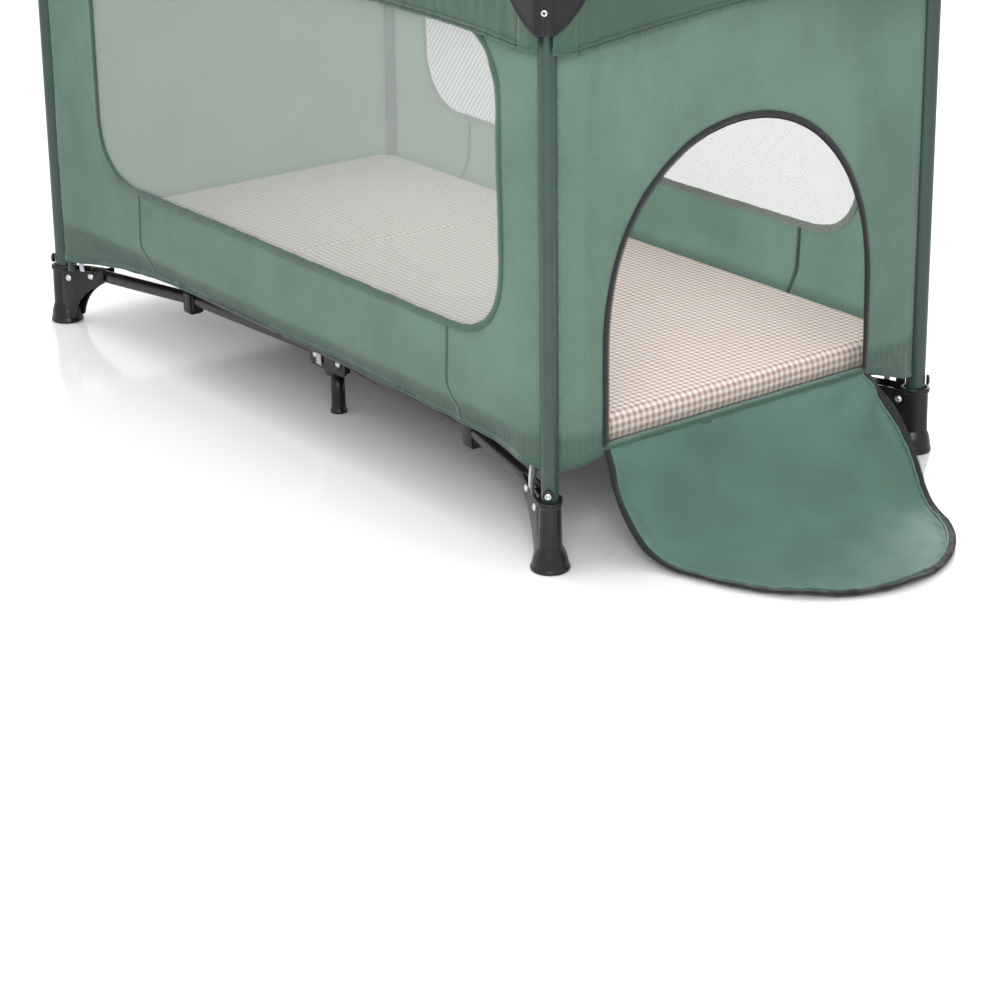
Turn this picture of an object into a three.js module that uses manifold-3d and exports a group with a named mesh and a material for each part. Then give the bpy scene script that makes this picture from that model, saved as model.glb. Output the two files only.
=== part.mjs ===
// Folding travel cot with a zipped side door, in millimetres, +Z up.
// The legs stand symmetrically about X = 0 and Y = 0 while the model is built; at the end the whole
// group moves along X, so that the origin lies at the bottom centre of its box, open flap included.
import * as THREE from "three";
import { mergeVertices } from "three/addons/utils/BufferGeometryUtils.js";
import Module from "manifold-3d";

const wasm = await Module();
wasm.setup();

// ---- driving dimensions ----
const LEG_X = 605; // leg centres along the length
const LEG_Y = 310; // leg centres across the width
const TOP = 775; // overall height, at the corner caps
const RAIL_Z = 735; // axis of the top rails
const RAIL_R = 11;
const PIVOT_IN = 55; // rail pivot, inboard of the leg centre
const HUB_PIVOT = 28; // pivots of the centre locks and of the base hubs, either side of the middle
const PIN_R = 3;
const PIN_BORE_R = 3.4;
const POST = { along: 15, across: 10.5, bottom: 50, top: 748 }; // oval tube, long axis on the diagonal
const SLIP = 0.4; // gap of a post in its socket
const BASE_Z = 82; // axis of the base tubes
const BASE_R = 9.5;
const BASE_PIVOT_Y = 25; // base tube pivot, inboard of the leg centre across the width
const BEND = { x: 255, y: 78 }; // bend of a base tube, from the leg centre
const HUB_Y = 210; // base hub axis
const WALL_OFFSET = 14.5; // middle of the wall cloth, outboard of the leg centres
const CLOTH = 2;
const WALL_TOP = 705;
const SLEEVE = { inner: 18, outer: 21, top: 757.5, thick: 3 };
const MATTRESS = { length: 1196, width: 596, bottom: 131, top: 170, corner: 35 };
const WINDOW = { bottom: 268, top: 685, corner: 85 };
const DOOR = { middle: -20, half: 221, sill: 144, spring: 262, top: 520, band: 6 };
const FLAP = { hingeX: 624, hingeZ: 137, bendX: 709, bendZ: 2, end: 893, thick: 3, width: 430 };

const TURN = Math.PI / 2;
const DIAGONAL = Math.PI / 4;

// ---- materials ----
const finish = (color, roughness, metalness = 0) =>
  new THREE.MeshStandardMaterial({ color, roughness, metalness });
const PAINT = finish(0x55756a, 0.45, 0.2);
const BLACK = finish(0x222428, 0.35);
const GREY_TUBE = finish(0x45433f, 0.4, 0.4);
const STEEL = finish(0xbfc2c4, 0.3, 1);
const CLOTH_GREEN = finish(0x7c9684, 0.85);
const CLOTH_DARK = finish(0x5c8270, 0.8);
const NET = finish(0xb8c8bd, 0.9);
const GINGHAM = finish(0xd5c7b8, 0.9);
const SATIN = finish(0x3f7a62, 0.5);
const ZIP = finish(0x26282b, 0.6);
const WEBBING = finish(0xc6c6ce, 0.8);
const LINING = finish(0x2d3030, 0.9);
const RED = finish(0xa33a34, 0.45);

// ---- solids ----
const toSolid = (geometry) => {
  const bare = geometry.clone();
  bare.deleteAttribute("normal");
  bare.deleteAttribute("uv");
  const merged = mergeVertices(bare, 1e-3);
  return new wasm.Manifold(
    new wasm.Mesh({
      numProp: 3,
      vertProperties: merged.attributes.position.array,
      triVerts: new Uint32Array(merged.index.array),
    }),
  );
};

const toGeometry = (solid) => {
  const { vertProperties, triVerts } = solid.getMesh();
  const geometry = new THREE.BufferGeometry();
  geometry.setAttribute("position", new THREE.BufferAttribute(vertProperties, 3));
  geometry.setIndex(new THREE.BufferAttribute(triVerts, 1));
  return geometry;
};

const join = (...pieces) => toGeometry(pieces.map(toSolid).reduce((a, b) => a.add(b)));

const cut = (piece, ...tools) =>
  toGeometry(tools.map(toSolid).reduce((a, b) => a.subtract(b), toSolid(piece)));

const outline = (points) => new THREE.Shape(points.map(([x, y]) => new THREE.Vector2(x, y)));

const extrude = (shape, depth, curveSegments = 4) =>
  new THREE.ExtrudeGeometry(shape, { depth, curveSegments, steps: 1, bevelEnabled: false });

// A flat plate whose outline lies in the XY, XZ or YZ plane, between two heights on the third axis.
const plateXY = (shape, low, high, segments) =>
  extrude(shape, high - low, segments).translate(0, 0, low);

const plateXZ = (shape, low, high, segments) =>
  extrude(shape, high - low, segments).rotateX(TURN).translate(0, high, 0);

const YZ_BASIS = new THREE.Matrix4().makeBasis(
  new THREE.Vector3(0, 1, 0),
  new THREE.Vector3(0, 0, 1),
  new THREE.Vector3(1, 0, 0),
);
const plateYZ = (shape, low, high, segments) =>
  extrude(shape, high - low, segments).applyMatrix4(YZ_BASIS).translate(low, 0, 0);

const block = (x0, x1, y0, y1, z0, z1) =>
  new THREE.BoxGeometry(x1 - x0, y1 - y0, z1 - z0).translate(
    (x0 + x1) / 2,
    (y0 + y1) / 2,
    (z0 + z1) / 2,
  );

const rodAlongY = (r, x, y0, y1, z, sides = 8) =>
  new THREE.CylinderGeometry(r, r, y1 - y0, sides).translate(x, (y0 + y1) / 2, z);

const rodAlongX = (r, x0, x1, y, z, sides = 8) =>
  new THREE.CylinderGeometry(r, r, x1 - x0, sides).rotateZ(TURN).translate((x0 + x1) / 2, y, z);

const roundedRect = (x0, y0, x1, y1, r) => {
  const shape = new THREE.Shape();
  shape.moveTo(x0 + r, y0);
  shape.lineTo(x1 - r, y0);
  shape.absarc(x1 - r, y0 + r, r, -TURN, 0);
  shape.lineTo(x1, y1 - r);
  shape.absarc(x1 - r, y1 - r, r, 0, TURN);
  shape.lineTo(x0 + r, y1);
  shape.absarc(x0 + r, y1 - r, r, TURN, 2 * TURN);
  shape.lineTo(x0, y0 + r);
  shape.absarc(x0 + r, y0 + r, r, 2 * TURN, 3 * TURN);
  return shape;
};

const oval = (along, across, turn, low, high, sides = 8) => {
  const shape = new THREE.Shape();
  shape.absellipse(0, 0, along, across, 0, 2 * Math.PI, false, turn);
  return extrude(shape, high - low, sides).translate(0, 0, low);
};

// A closed skin through a stack of rings, each an array of [x, y, z], with both ends capped.
// The rings turn anticlockwise seen from the last ring back to the first.
const loft = (rings) => {
  const count = rings[0].length;
  const corners = rings.flat(2);
  const faces = [];
  for (let ring = 0; ring + 1 < rings.length; ring += 1) {
    for (let side = 0; side < count; side += 1) {
      const a = ring * count + side;
      const b = ring * count + ((side + 1) % count);
      faces.push(a, b, b + count, a, b + count, a + count);
    }
  }
  const last = (rings.length - 1) * count;
  for (let side = 1; side + 1 < count; side += 1) {
    faces.push(0, side + 1, side, last, last + side, last + side + 1);
  }
  const geometry = new THREE.BufferGeometry();
  geometry.setAttribute("position", new THREE.Float32BufferAttribute(corners, 3));
  geometry.setIndex(faces);
  return geometry;
};

const root = new THREE.Group();

const add = (parent, name, geometry, material) => {
  const mesh = new THREE.Mesh(geometry, material);
  mesh.name = name;
  parent.add(mesh);
  return mesh;
};

// ---- one corner, built at the front left: origin at the leg centre on the floor, +X and +Y inboard ----
const postShape = () => oval(POST.along, POST.across, DIAGONAL, POST.bottom, POST.top);

const postSocket = (low, high) =>
  oval(POST.along + SLIP, POST.across + SLIP, DIAGONAL, low, high);

// Bell-shaped glide under an oval column, with a fork that carries the base tube.
const footShape = () => {
  const sides = 16;
  const profile = [
    [0, 24.5, 24.5],
    [5, 24.5, 24.5],
    [14, 20.5, 19],
    [32, 18, 14],
    [85, 18, 13.6],
    [86, 19.5, 15.2],
    [90, 19.5, 15.2],
  ];
  const rings = profile.map(([z, along, across]) =>
    Array.from({ length: sides }, (_, i) => {
      const t = (i / sides) * 2 * Math.PI;
      const [u, v] = [along * Math.cos(t), across * Math.sin(t)];
      return [(u - v) * Math.SQRT1_2, (u + v) * Math.SQRT1_2, z];
    }),
  );
  const web = new THREE.Shape();
  web.moveTo(2, 8);
  web.lineTo(24, 8);
  web.quadraticCurveTo(30, 52, 78, 70);
  web.lineTo(80, 92);
  web.lineTo(74, 98);
  web.lineTo(12, 98);
  web.lineTo(2, 84);
  const forkTurn = Math.atan2(BASE_PIVOT_Y, PIVOT_IN);
  const cheek = (low, high) => plateXZ(web, low, high).rotateZ(forkTurn);
  const body = join(loft(rings), cheek(11, 14.5), cheek(-14.5, -11));
  const bore = rodAlongY(PIN_BORE_R, PIVOT_IN, 0, 50, BASE_Z, 12);
  return cut(body, postSocket(POST.bottom - 1, 120), bore);
};

const footPin = () => rodAlongY(PIN_R, PIVOT_IN, BASE_PIVOT_Y - 19, BASE_PIVOT_Y + 19, BASE_Z);

// Moulded corner: socket block, top plate, two pointed outer shields and a fork for each rail.
const CAP = { half: 22, reach: 70, shield: 78, face: 25.5, skin: 3, bottom: 655, lid: 769 };

const capShape = () => {
  const { half, reach, shield, face, skin, bottom, lid } = CAP;
  const socket = plateXY(roundedRect(-half, -half, half, half, 8), bottom + 5, lid + 1, 2);
  const lidShape = outline([
    [-face, -face],
    [shield, -face],
    [shield, half - 2],
    [half + 8, half - 2],
    [half - 2, half + 8],
    [half - 2, shield],
    [-face, shield],
  ]);
  const curtain = new THREE.Shape();
  curtain.moveTo(-face, bottom);
  curtain.quadraticCurveTo(45, bottom + 5, shield, lid);
  curtain.lineTo(shield, TOP);
  curtain.lineTo(-face, TOP);
  const forkLow = RAIL_Z - 20;
  const forkHigh = RAIL_Z + 18;
  const pieces = [
    socket,
    plateXY(lidShape, lid, TOP),
    plateXZ(curtain, -face, skin - face, 5),
    plateYZ(curtain, -face, skin - face, 5),
  ];
  for (const [low, high] of [
    [-15.5, -11.5],
    [11.5, 15.5],
  ]) {
    pieces.push(block(half - 4, reach, low, high, forkLow, forkHigh));
    pieces.push(block(low, high, half - 4, reach, forkLow, forkHigh));
  }
  pieces.push(rodAlongY(PIN_R, PIVOT_IN, -14, 14, RAIL_Z));
  pieces.push(rodAlongX(PIN_R, -14, 14, PIVOT_IN, RAIL_Z));
  return cut(join(...pieces), postSocket(600, POST.top + 2));
};

// Round tube bent once, pressed flat at both ends where the pins go through.
const baseTubeBody = (extra) => {
  const sides = 12;
  const flat = [5, 10];
  const round = [BASE_R, BASE_R];
  const hubX = LEG_X - HUB_PIVOT;
  const hubY = LEG_Y - HUB_Y;
  const stations = [
    [PIVOT_IN - 8, BASE_PIVOT_Y - 2, flat],
    [PIVOT_IN + 22, BASE_PIVOT_Y + 6, flat],
    [PIVOT_IN + 38, BASE_PIVOT_Y + 10, round],
    [BEND.x - 12, BEND.y - 3, round],
    [BEND.x + 12, BEND.y + 1, round],
    [hubX - 34, hubY - 2, round],
    [hubX - 18, hubY - 1, flat],
    [hubX + 8, hubY, flat],
  ];
  return loft(
    stations.map(([x, y, [wide, tall]]) =>
      Array.from({ length: sides }, (_, i) => {
        const t = (i / sides) * 2 * Math.PI;
        return [x, y + (wide + extra) * Math.cos(t), BASE_Z + (tall + extra) * Math.sin(t)];
      }),
    ),
  );
};

const baseTubeShape = () => {
  const bores = [PIVOT_IN, LEG_X - HUB_PIVOT].map((x) =>
    rodAlongY(PIN_BORE_R, x, 0, LEG_Y, BASE_Z, 12),
  );
  return cut(baseTubeBody(0), ...bores);
};

// Plastic collar round the bend of the base tube.
const clipShape = () =>
  cut(
    plateYZ(roundedRect(BEND.y - 13, BASE_Z - 20, BEND.y + 12, BASE_Z + 13, 5), BEND.x - 9, BEND.x + 9, 2),
    baseTubeBody(SLIP),
  );

const halfRail = (length) => {
  const end = 10;
  const bar = rodAlongX(RAIL_R, -end, length + end, 0, RAIL_Z, 12);
  const bores = [0, length].map((x) => rodAlongY(PIN_BORE_R, x, -20, 20, RAIL_Z, 12));
  return cut(bar, ...bores);
};

// ---- middle of a top rail: two cheeks, a bridge and the two hinge pins ----
const lockHousing = () => {
  const cheek = roundedRect(-42, RAIL_Z - 14, 42, RAIL_Z + 14, 10);
  const bridge = block(-15, 15, -14, 14, RAIL_Z + 12.5, RAIL_Z + 17);
  return join(
    plateXZ(cheek, -16, -12, 2),
    plateXZ(cheek, 12, 16, 2),
    bridge,
    rodAlongY(PIN_R, -HUB_PIVOT, -14, 14, RAIL_Z),
    rodAlongY(PIN_R, HUB_PIVOT, -14, 14, RAIL_Z),
  );
};

const lockButton = () => plateXZ(roundedRect(-9.5, RAIL_Z - 22, 9.5, RAIL_Z - 8, 3), -11, 11, 2);

// ---- middle of the base: a channel open below, with two pins and a socket for the support leg ----
const hubShape = () => {
  const cheek = roundedRect(-44, BASE_Z - 17, 44, BASE_Z + 18, 9);
  return join(
    plateXZ(cheek, -17, -13, 2),
    plateXZ(cheek, 13, 17, 2),
    block(-36, 36, -15, 15, BASE_Z + 13.5, BASE_Z + 18),
    block(-11, 11, -15, 15, BASE_Z - 25, BASE_Z + 15),
    rodAlongY(PIN_R, -HUB_PIVOT, -15, 15, BASE_Z),
    rodAlongY(PIN_R, HUB_PIVOT, -15, 15, BASE_Z),
  );
};

const supportLeg = () => {
  const profile = [
    [0, 0],
    [12, 0],
    [12, 4],
    [10, 9],
    [10, BASE_Z - 26],
    [0, BASE_Z - 26],
  ].map(([r, z]) => new THREE.Vector2(r, z));
  return new THREE.LatheGeometry(profile, 12).rotateX(TURN);
};

// ---- cloth ----
const LONG_END = LEG_X - 27;
const SHORT_END = LEG_Y - 27;

const windowHole = (x0, x1, grow) =>
  roundedRect(x0 - grow, WINDOW.bottom - grow, x1 + grow, WINDOW.top + grow, WINDOW.corner);

// Long wall: straight sides and top, with a hem that rises from the corners to the middle.
const longWallShape = () => {
  const wall = new THREE.Shape();
  wall.moveTo(-LONG_END, 114);
  wall.quadraticCurveTo(-480, 139, -300, 146);
  wall.quadraticCurveTo(0, 154, 300, 146);
  wall.quadraticCurveTo(480, 139, LONG_END, 114);
  wall.lineTo(LONG_END, WALL_TOP);
  wall.lineTo(-LONG_END, WALL_TOP);
  return wall;
};

const longWall = (x0, x1) => {
  const wall = longWallShape();
  wall.holes.push(windowHole(x0, x1, 0));
  return plateXZ(wall, -CLOTH / 2, CLOTH / 2);
};

const netPanel = (x0, x1) => plateXZ(windowHole(x0, x1, -0.6), -0.5, 0.5);

const doorArch = (inset) => {
  const { middle, half, sill, spring, top } = DOOR;
  const arch = new THREE.Path();
  arch.moveTo(middle - half + inset, sill);
  arch.lineTo(middle + half - inset, sill);
  arch.absellipse(middle, spring, half - inset, top - spring - inset, 0, Math.PI, false, 0);
  return arch;
};

const shortWallShape = () => {
  const wall = new THREE.Shape();
  wall.moveTo(-SHORT_END, 116);
  wall.lineTo(-246, 135);
  wall.lineTo(206, 135);
  wall.lineTo(SHORT_END, 112);
  wall.lineTo(SHORT_END, WALL_TOP);
  wall.lineTo(-SHORT_END, WALL_TOP);
  return wall;
};

const doorWall = () => {
  const wall = shortWallShape();
  wall.holes.push(doorArch(0));
  return plateYZ(wall, -CLOTH / 2, CLOTH / 2, 10);
};

// Zip tape round the doorway: an upside-down U.
const zipTrack = () => {
  const { middle, half, sill, spring, top, band } = DOOR;
  const gap = 0.5;
  const strip = new THREE.Shape();
  strip.moveTo(middle + half - gap, sill + gap);
  strip.absellipse(middle, spring, half - gap, top - spring - gap, 0, Math.PI, false, 0);
  strip.lineTo(middle - half + gap, sill + gap);
  strip.lineTo(middle - half + band, sill + gap);
  strip.absellipse(middle, spring, half - band, top - spring - band, Math.PI, 0, true, 0);
  strip.lineTo(middle + half - band, sill + gap);
  return plateYZ(strip, -1.5, 1.5, 10);
};

// Upside-down U of cloth over a rail, drawn across the rail and drawn out along it.
const sleeveShape = (half, low) => {
  const { inner, outer, top, thick } = SLEEVE;
  const section = outline([
    [-outer, low],
    [-inner, low],
    [-inner, top - thick],
    [inner, top - thick],
    [inner, low],
    [outer, low],
    [outer, top],
    [-outer, top],
  ]);
  return plateYZ(section, -half, half);
};

const flapAngle = Math.atan2(FLAP.hingeZ - FLAP.bendZ, FLAP.bendX - FLAP.hingeX);
const flapDrop = Math.hypot(FLAP.hingeZ - FLAP.bendZ, FLAP.bendX - FLAP.hingeX);

// The part of the flap that hangs from the sill to the floor.
const flapUpper = () => {
  const half = FLAP.thick / 2;
  return block(2, flapDrop - 3, -FLAP.width / 2, FLAP.width / 2, -half, half)
    .rotateY(flapAngle)
    .translate(FLAP.hingeX, DOOR.middle, FLAP.hingeZ);
};

// The round end of the flap, lying on the floor.
const flapLower = () => {
  const start = FLAP.bendX + 2;
  const shoulder = start + 40;
  const half = 197;
  const tongue = new THREE.Shape();
  tongue.moveTo(start, -half);
  tongue.lineTo(shoulder, -half);
  tongue.absellipse(shoulder, 0, FLAP.end - shoulder, half, -TURN, TURN, false, 0);
  tongue.lineTo(start, half);
  return plateXY(tongue, 0.5, 0.5 + FLAP.thick, 8);
};

// ---- assembly ----
const CORNERS = {
  fl: [-1, -1],
  fr: [1, -1],
  bl: [-1, 1],
  br: [1, 1],
};
const cornerParts = {
  post: [postShape(), PAINT],
  foot: [footShape(), BLACK],
  corner_cap: [capShape(), BLACK],
  foot_pin: [footPin(), STEEL],
  base_tube: [baseTubeShape(), GREY_TUBE],
  tube_clip: [clipShape(), BLACK],
};
for (const [name, [sx, sy]] of Object.entries(CORNERS)) {
  const corner = new THREE.Group();
  corner.position.set(sx * LEG_X, sy * LEG_Y, 0);
  corner.scale.set(-sx, -sy, 1);
  root.add(corner);
  for (const [part, [geometry, material]] of Object.entries(cornerParts)) {
    add(corner, `${part}_${name}`, geometry, material);
  }
}

const housingGeometry = lockHousing();
const buttonGeometry = lockButton();
const longRail = halfRail(LEG_X - PIVOT_IN - HUB_PIVOT);
const shortRail = halfRail(LEG_Y - PIVOT_IN - HUB_PIVOT);
// Each side is drawn along X about its own middle and then turned onto its wall.
const SIDES = {
  front: { at: [0, -LEG_Y], turn: 0, half: LEG_X, rail: longRail, ends: ["left", "right"] },
  right: { at: [LEG_X, 0], turn: TURN, half: LEG_Y, rail: shortRail, ends: ["front", "back"] },
  back: { at: [0, LEG_Y], turn: 0, half: LEG_X, rail: longRail, ends: ["left", "right"] },
  left: { at: [-LEG_X, 0], turn: TURN, half: LEG_Y, rail: shortRail, ends: ["front", "back"] },
};
for (const [side, { at, turn, half, rail, ends }] of Object.entries(SIDES)) {
  const group = new THREE.Group();
  group.position.set(at[0], at[1], 0);
  group.rotation.z = turn;
  root.add(group);
  add(group, `lock_housing_${side}`, housingGeometry, BLACK);
  add(group, `lock_button_${side}`, buttonGeometry, RED);
  const first = add(group, `top_rail_${side}_${ends[0]}`, rail, PAINT);
  first.position.x = PIVOT_IN - half;
  const second = add(group, `top_rail_${side}_${ends[1]}`, rail, PAINT);
  second.position.x = HUB_PIVOT;
  const low = half === LEG_X ? 636 : 642;
  add(group, `rail_sleeve_${side}`, sleeveShape(half - 25, low), CLOTH_DARK);
}

const hubGeometry = hubShape();
const legGeometry = supportLeg();
const windows = { front: [-434, 532], back: [-529, 472] };
for (const [side, sign] of [
  ["front", -1],
  ["back", 1],
]) {
  const hub = add(root, `base_hub_${side}`, hubGeometry, BLACK);
  hub.position.y = sign * HUB_Y;
  const leg = add(root, `support_leg_${side}`, legGeometry, BLACK);
  leg.position.y = sign * HUB_Y;
  const wall = add(root, `wall_${side}`, longWall(...windows[side]), CLOTH_GREEN);
  wall.position.y = sign * (LEG_Y + WALL_OFFSET);
  const net = add(root, `mesh_window_${side}`, netPanel(...windows[side]), NET);
  net.position.y = sign * (LEG_Y + WALL_OFFSET);
}

const endWall = add(
  root,
  "wall_left",
  plateYZ(shortWallShape(), -CLOTH / 2, CLOTH / 2),
  CLOTH_GREEN,
);
endWall.position.x = -LEG_X - WALL_OFFSET;
for (const [name, geometry, material] of [
  ["wall_right", doorWall(), CLOTH_GREEN],
  ["door_zip_track", zipTrack(), ZIP],
]) {
  add(root, name, geometry, material).position.x = LEG_X + WALL_OFFSET;
}

const floorOutline = outline([
  [-572, -250],
  [-530, -292],
  [530, -292],
  [572, -250],
  [572, 250],
  [530, 292],
  [-530, 292],
  [-572, 250],
]);
add(root, "floor_sheet", plateXY(floorOutline, 126, 128.5), LINING);
const { length, width, bottom, top, corner } = MATTRESS;
const pad = roundedRect(-length / 2, -width / 2, length / 2, width / 2, corner);
add(root, "mattress", plateXY(pad, bottom, top), GINGHAM);
add(root, "cross_strap", block(-12.5, 12.5, -190, 190, 103, 105), WEBBING);
add(root, "door_flap_upper", flapUpper(), SATIN);
add(root, "door_flap_lower", flapLower(), SATIN);

// The open flap reaches past the legs, so the middle of the whole is not the middle of the frame.
const lowest = -LEG_X - CAP.face;
root.position.x = -(lowest + FLAP.end) / 2;

export default root;
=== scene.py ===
# %% [markdown]
# # A folding travel cot with a zipped end door
# The frame of this cot is already designed: its legs, rails, pivots and mounts come from the packed
# part, and nothing here moves them. This lesson dresses that frame, piece by piece, in the cloth,
# net, plastic, paint and steel of a real cot.
#
# Everything is in metres. The cot's own middle is a little to one side of the frame's origin, because
# the open door flap counts as part of the object, so shapes are drawn about the middle of the four
# legs and shifted once, when a mesh is made.

# %% Load the frame
import math

import bpy
import numpy as np
from mathutils import Matrix, Vector, geometry, noise


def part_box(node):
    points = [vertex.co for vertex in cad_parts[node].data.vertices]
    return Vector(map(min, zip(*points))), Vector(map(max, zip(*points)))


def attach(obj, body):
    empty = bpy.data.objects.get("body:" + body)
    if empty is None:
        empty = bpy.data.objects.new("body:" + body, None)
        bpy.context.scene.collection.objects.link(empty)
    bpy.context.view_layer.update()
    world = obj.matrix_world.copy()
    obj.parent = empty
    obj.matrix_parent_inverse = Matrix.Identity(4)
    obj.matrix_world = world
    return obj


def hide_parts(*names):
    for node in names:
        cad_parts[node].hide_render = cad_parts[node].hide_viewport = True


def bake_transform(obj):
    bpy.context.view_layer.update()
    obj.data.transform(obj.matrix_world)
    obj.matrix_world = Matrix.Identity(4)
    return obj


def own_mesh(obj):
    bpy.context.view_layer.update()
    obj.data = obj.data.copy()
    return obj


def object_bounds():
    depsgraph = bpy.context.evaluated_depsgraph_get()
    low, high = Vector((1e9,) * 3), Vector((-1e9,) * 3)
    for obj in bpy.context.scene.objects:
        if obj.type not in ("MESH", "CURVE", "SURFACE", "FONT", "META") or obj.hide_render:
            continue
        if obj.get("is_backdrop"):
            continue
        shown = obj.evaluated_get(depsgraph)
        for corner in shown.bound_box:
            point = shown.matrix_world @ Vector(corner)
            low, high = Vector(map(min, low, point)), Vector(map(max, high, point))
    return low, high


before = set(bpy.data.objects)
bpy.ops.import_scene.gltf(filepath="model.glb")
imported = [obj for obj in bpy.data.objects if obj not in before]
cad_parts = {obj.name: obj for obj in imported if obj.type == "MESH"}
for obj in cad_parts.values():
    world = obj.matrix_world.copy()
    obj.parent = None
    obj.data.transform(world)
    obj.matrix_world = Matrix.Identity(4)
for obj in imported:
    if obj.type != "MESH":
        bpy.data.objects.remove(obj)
cad_low, cad_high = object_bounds()
print("frame box", [round(x, 3) for x in (*cad_low, *cad_high)])


def middle(node):
    low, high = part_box(node)
    return (low + high) / 2


CORNERS = {"fl": (-1, -1), "fr": (1, -1), "bl": (-1, 1), "br": (1, 1)}
COT_X = (middle("post_fl").x + middle("post_fr").x) / 2
LEG_X = (middle("post_fr").x - middle("post_fl").x) / 2
LEG_Y = (middle("post_br").y - middle("post_fr").y) / 2
RAIL_Z = middle("top_rail_front_left").z
BASE_Z = middle("foot_pin_fl").z
RAIL_R = (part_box("top_rail_front_left")[1].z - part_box("top_rail_front_left")[0].z) / 2
TOP_Z = cad_high.z
print(f"legs at +-{LEG_X:.3f}, +-{LEG_Y:.3f}; rail axis at {RAIL_Z:.3f}; cot middle at x {COT_X:.4f}")

# %% [markdown]
# The camera stands off the corner by the door, a little above the top rails, with a long lens, so
# that the posts stay nearly upright. A downward shift frames the cot's lower part, so the level
# horizon stays high above the picture's middle.

# %% Camera
EYE = Vector((2.8446, -2.0671, 1.2754))
AZIMUTH, ELEVATION, ROLL = (math.radians(angle) for angle in (51.8402, 18.1968, -0.3140))


def set_camera():
    data = bpy.data.cameras.new("camera")
    data.lens, data.sensor_width = 92.85, 36
    data.shift_x, data.shift_y = -0.0506, -0.20
    data.clip_start, data.clip_end = 0.05, 60
    level = Vector((math.cos(AZIMUTH), math.sin(AZIMUTH), 0))
    forward = Vector((-math.sin(AZIMUTH) * math.cos(ELEVATION), math.cos(AZIMUTH) * math.cos(ELEVATION),
                      -math.sin(ELEVATION)))
    right = level * math.cos(ROLL) + level.cross(forward) * math.sin(ROLL)
    turn = Matrix((right, right.cross(forward), -forward)).transposed().to_4x4()
    obj = bpy.data.objects.new("camera", data)
    obj.matrix_world = Matrix.Translation(EYE + Vector((COT_X, 0, 0))) @ turn
    bpy.context.scene.collection.objects.link(obj)
    bpy.context.scene.camera = obj


set_camera()

# %% [markdown]
# ## Shader maths
# A finish is easier to read as arithmetic than as boxes and wires. `Value` wraps one socket and turns
# `a * b + c` into Math nodes; `Finish` is one material, and its `node` method makes any other node.

# %% A small language for materials


def linear(red, green, blue):
    """An sRGB colour, 0 to 255, as the linear colour that a shader works in."""
    def one(c):
        c /= 255
        return c / 12.92 if c <= 0.04045 else ((c + 0.055) / 1.055) ** 2.4
    return (one(red), one(green), one(blue), 1)


class Value:
    def __init__(self, finish, socket):
        self.finish, self.socket = finish, socket

    def maths(self, operation, *values):
        return self.finish.node("ShaderNodeMath", {"operation": operation}, *values)

    def __add__(self, other):
        return self.maths("ADD", self, other)

    def __radd__(self, other):
        return self.maths("ADD", other, self)

    def __sub__(self, other):
        return self.maths("SUBTRACT", self, other)

    def __rsub__(self, other):
        return self.maths("SUBTRACT", other, self)

    def __mul__(self, other):
        return self.maths("MULTIPLY", self, other)

    def __rmul__(self, other):
        return self.maths("MULTIPLY", other, self)

    def __truediv__(self, other):
        return self.maths("DIVIDE", self, other)

    def sine(self):
        return self.maths("SINE", self)

    def absolute(self):
        return self.maths("ABSOLUTE", self)

    def at_most(self, other):
        return self.maths("MINIMUM", self, other)

    def above(self, other):
        return self.maths("GREATER_THAN", self, other)

    def step(self, low, high):
        """0 below low, 1 above high, and smooth between."""
        return self.finish.node(
            "ShaderNodeMapRange", {"interpolation_type": "SMOOTHSTEP"}, self, low, high, 0.0, 1.0
        )


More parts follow.
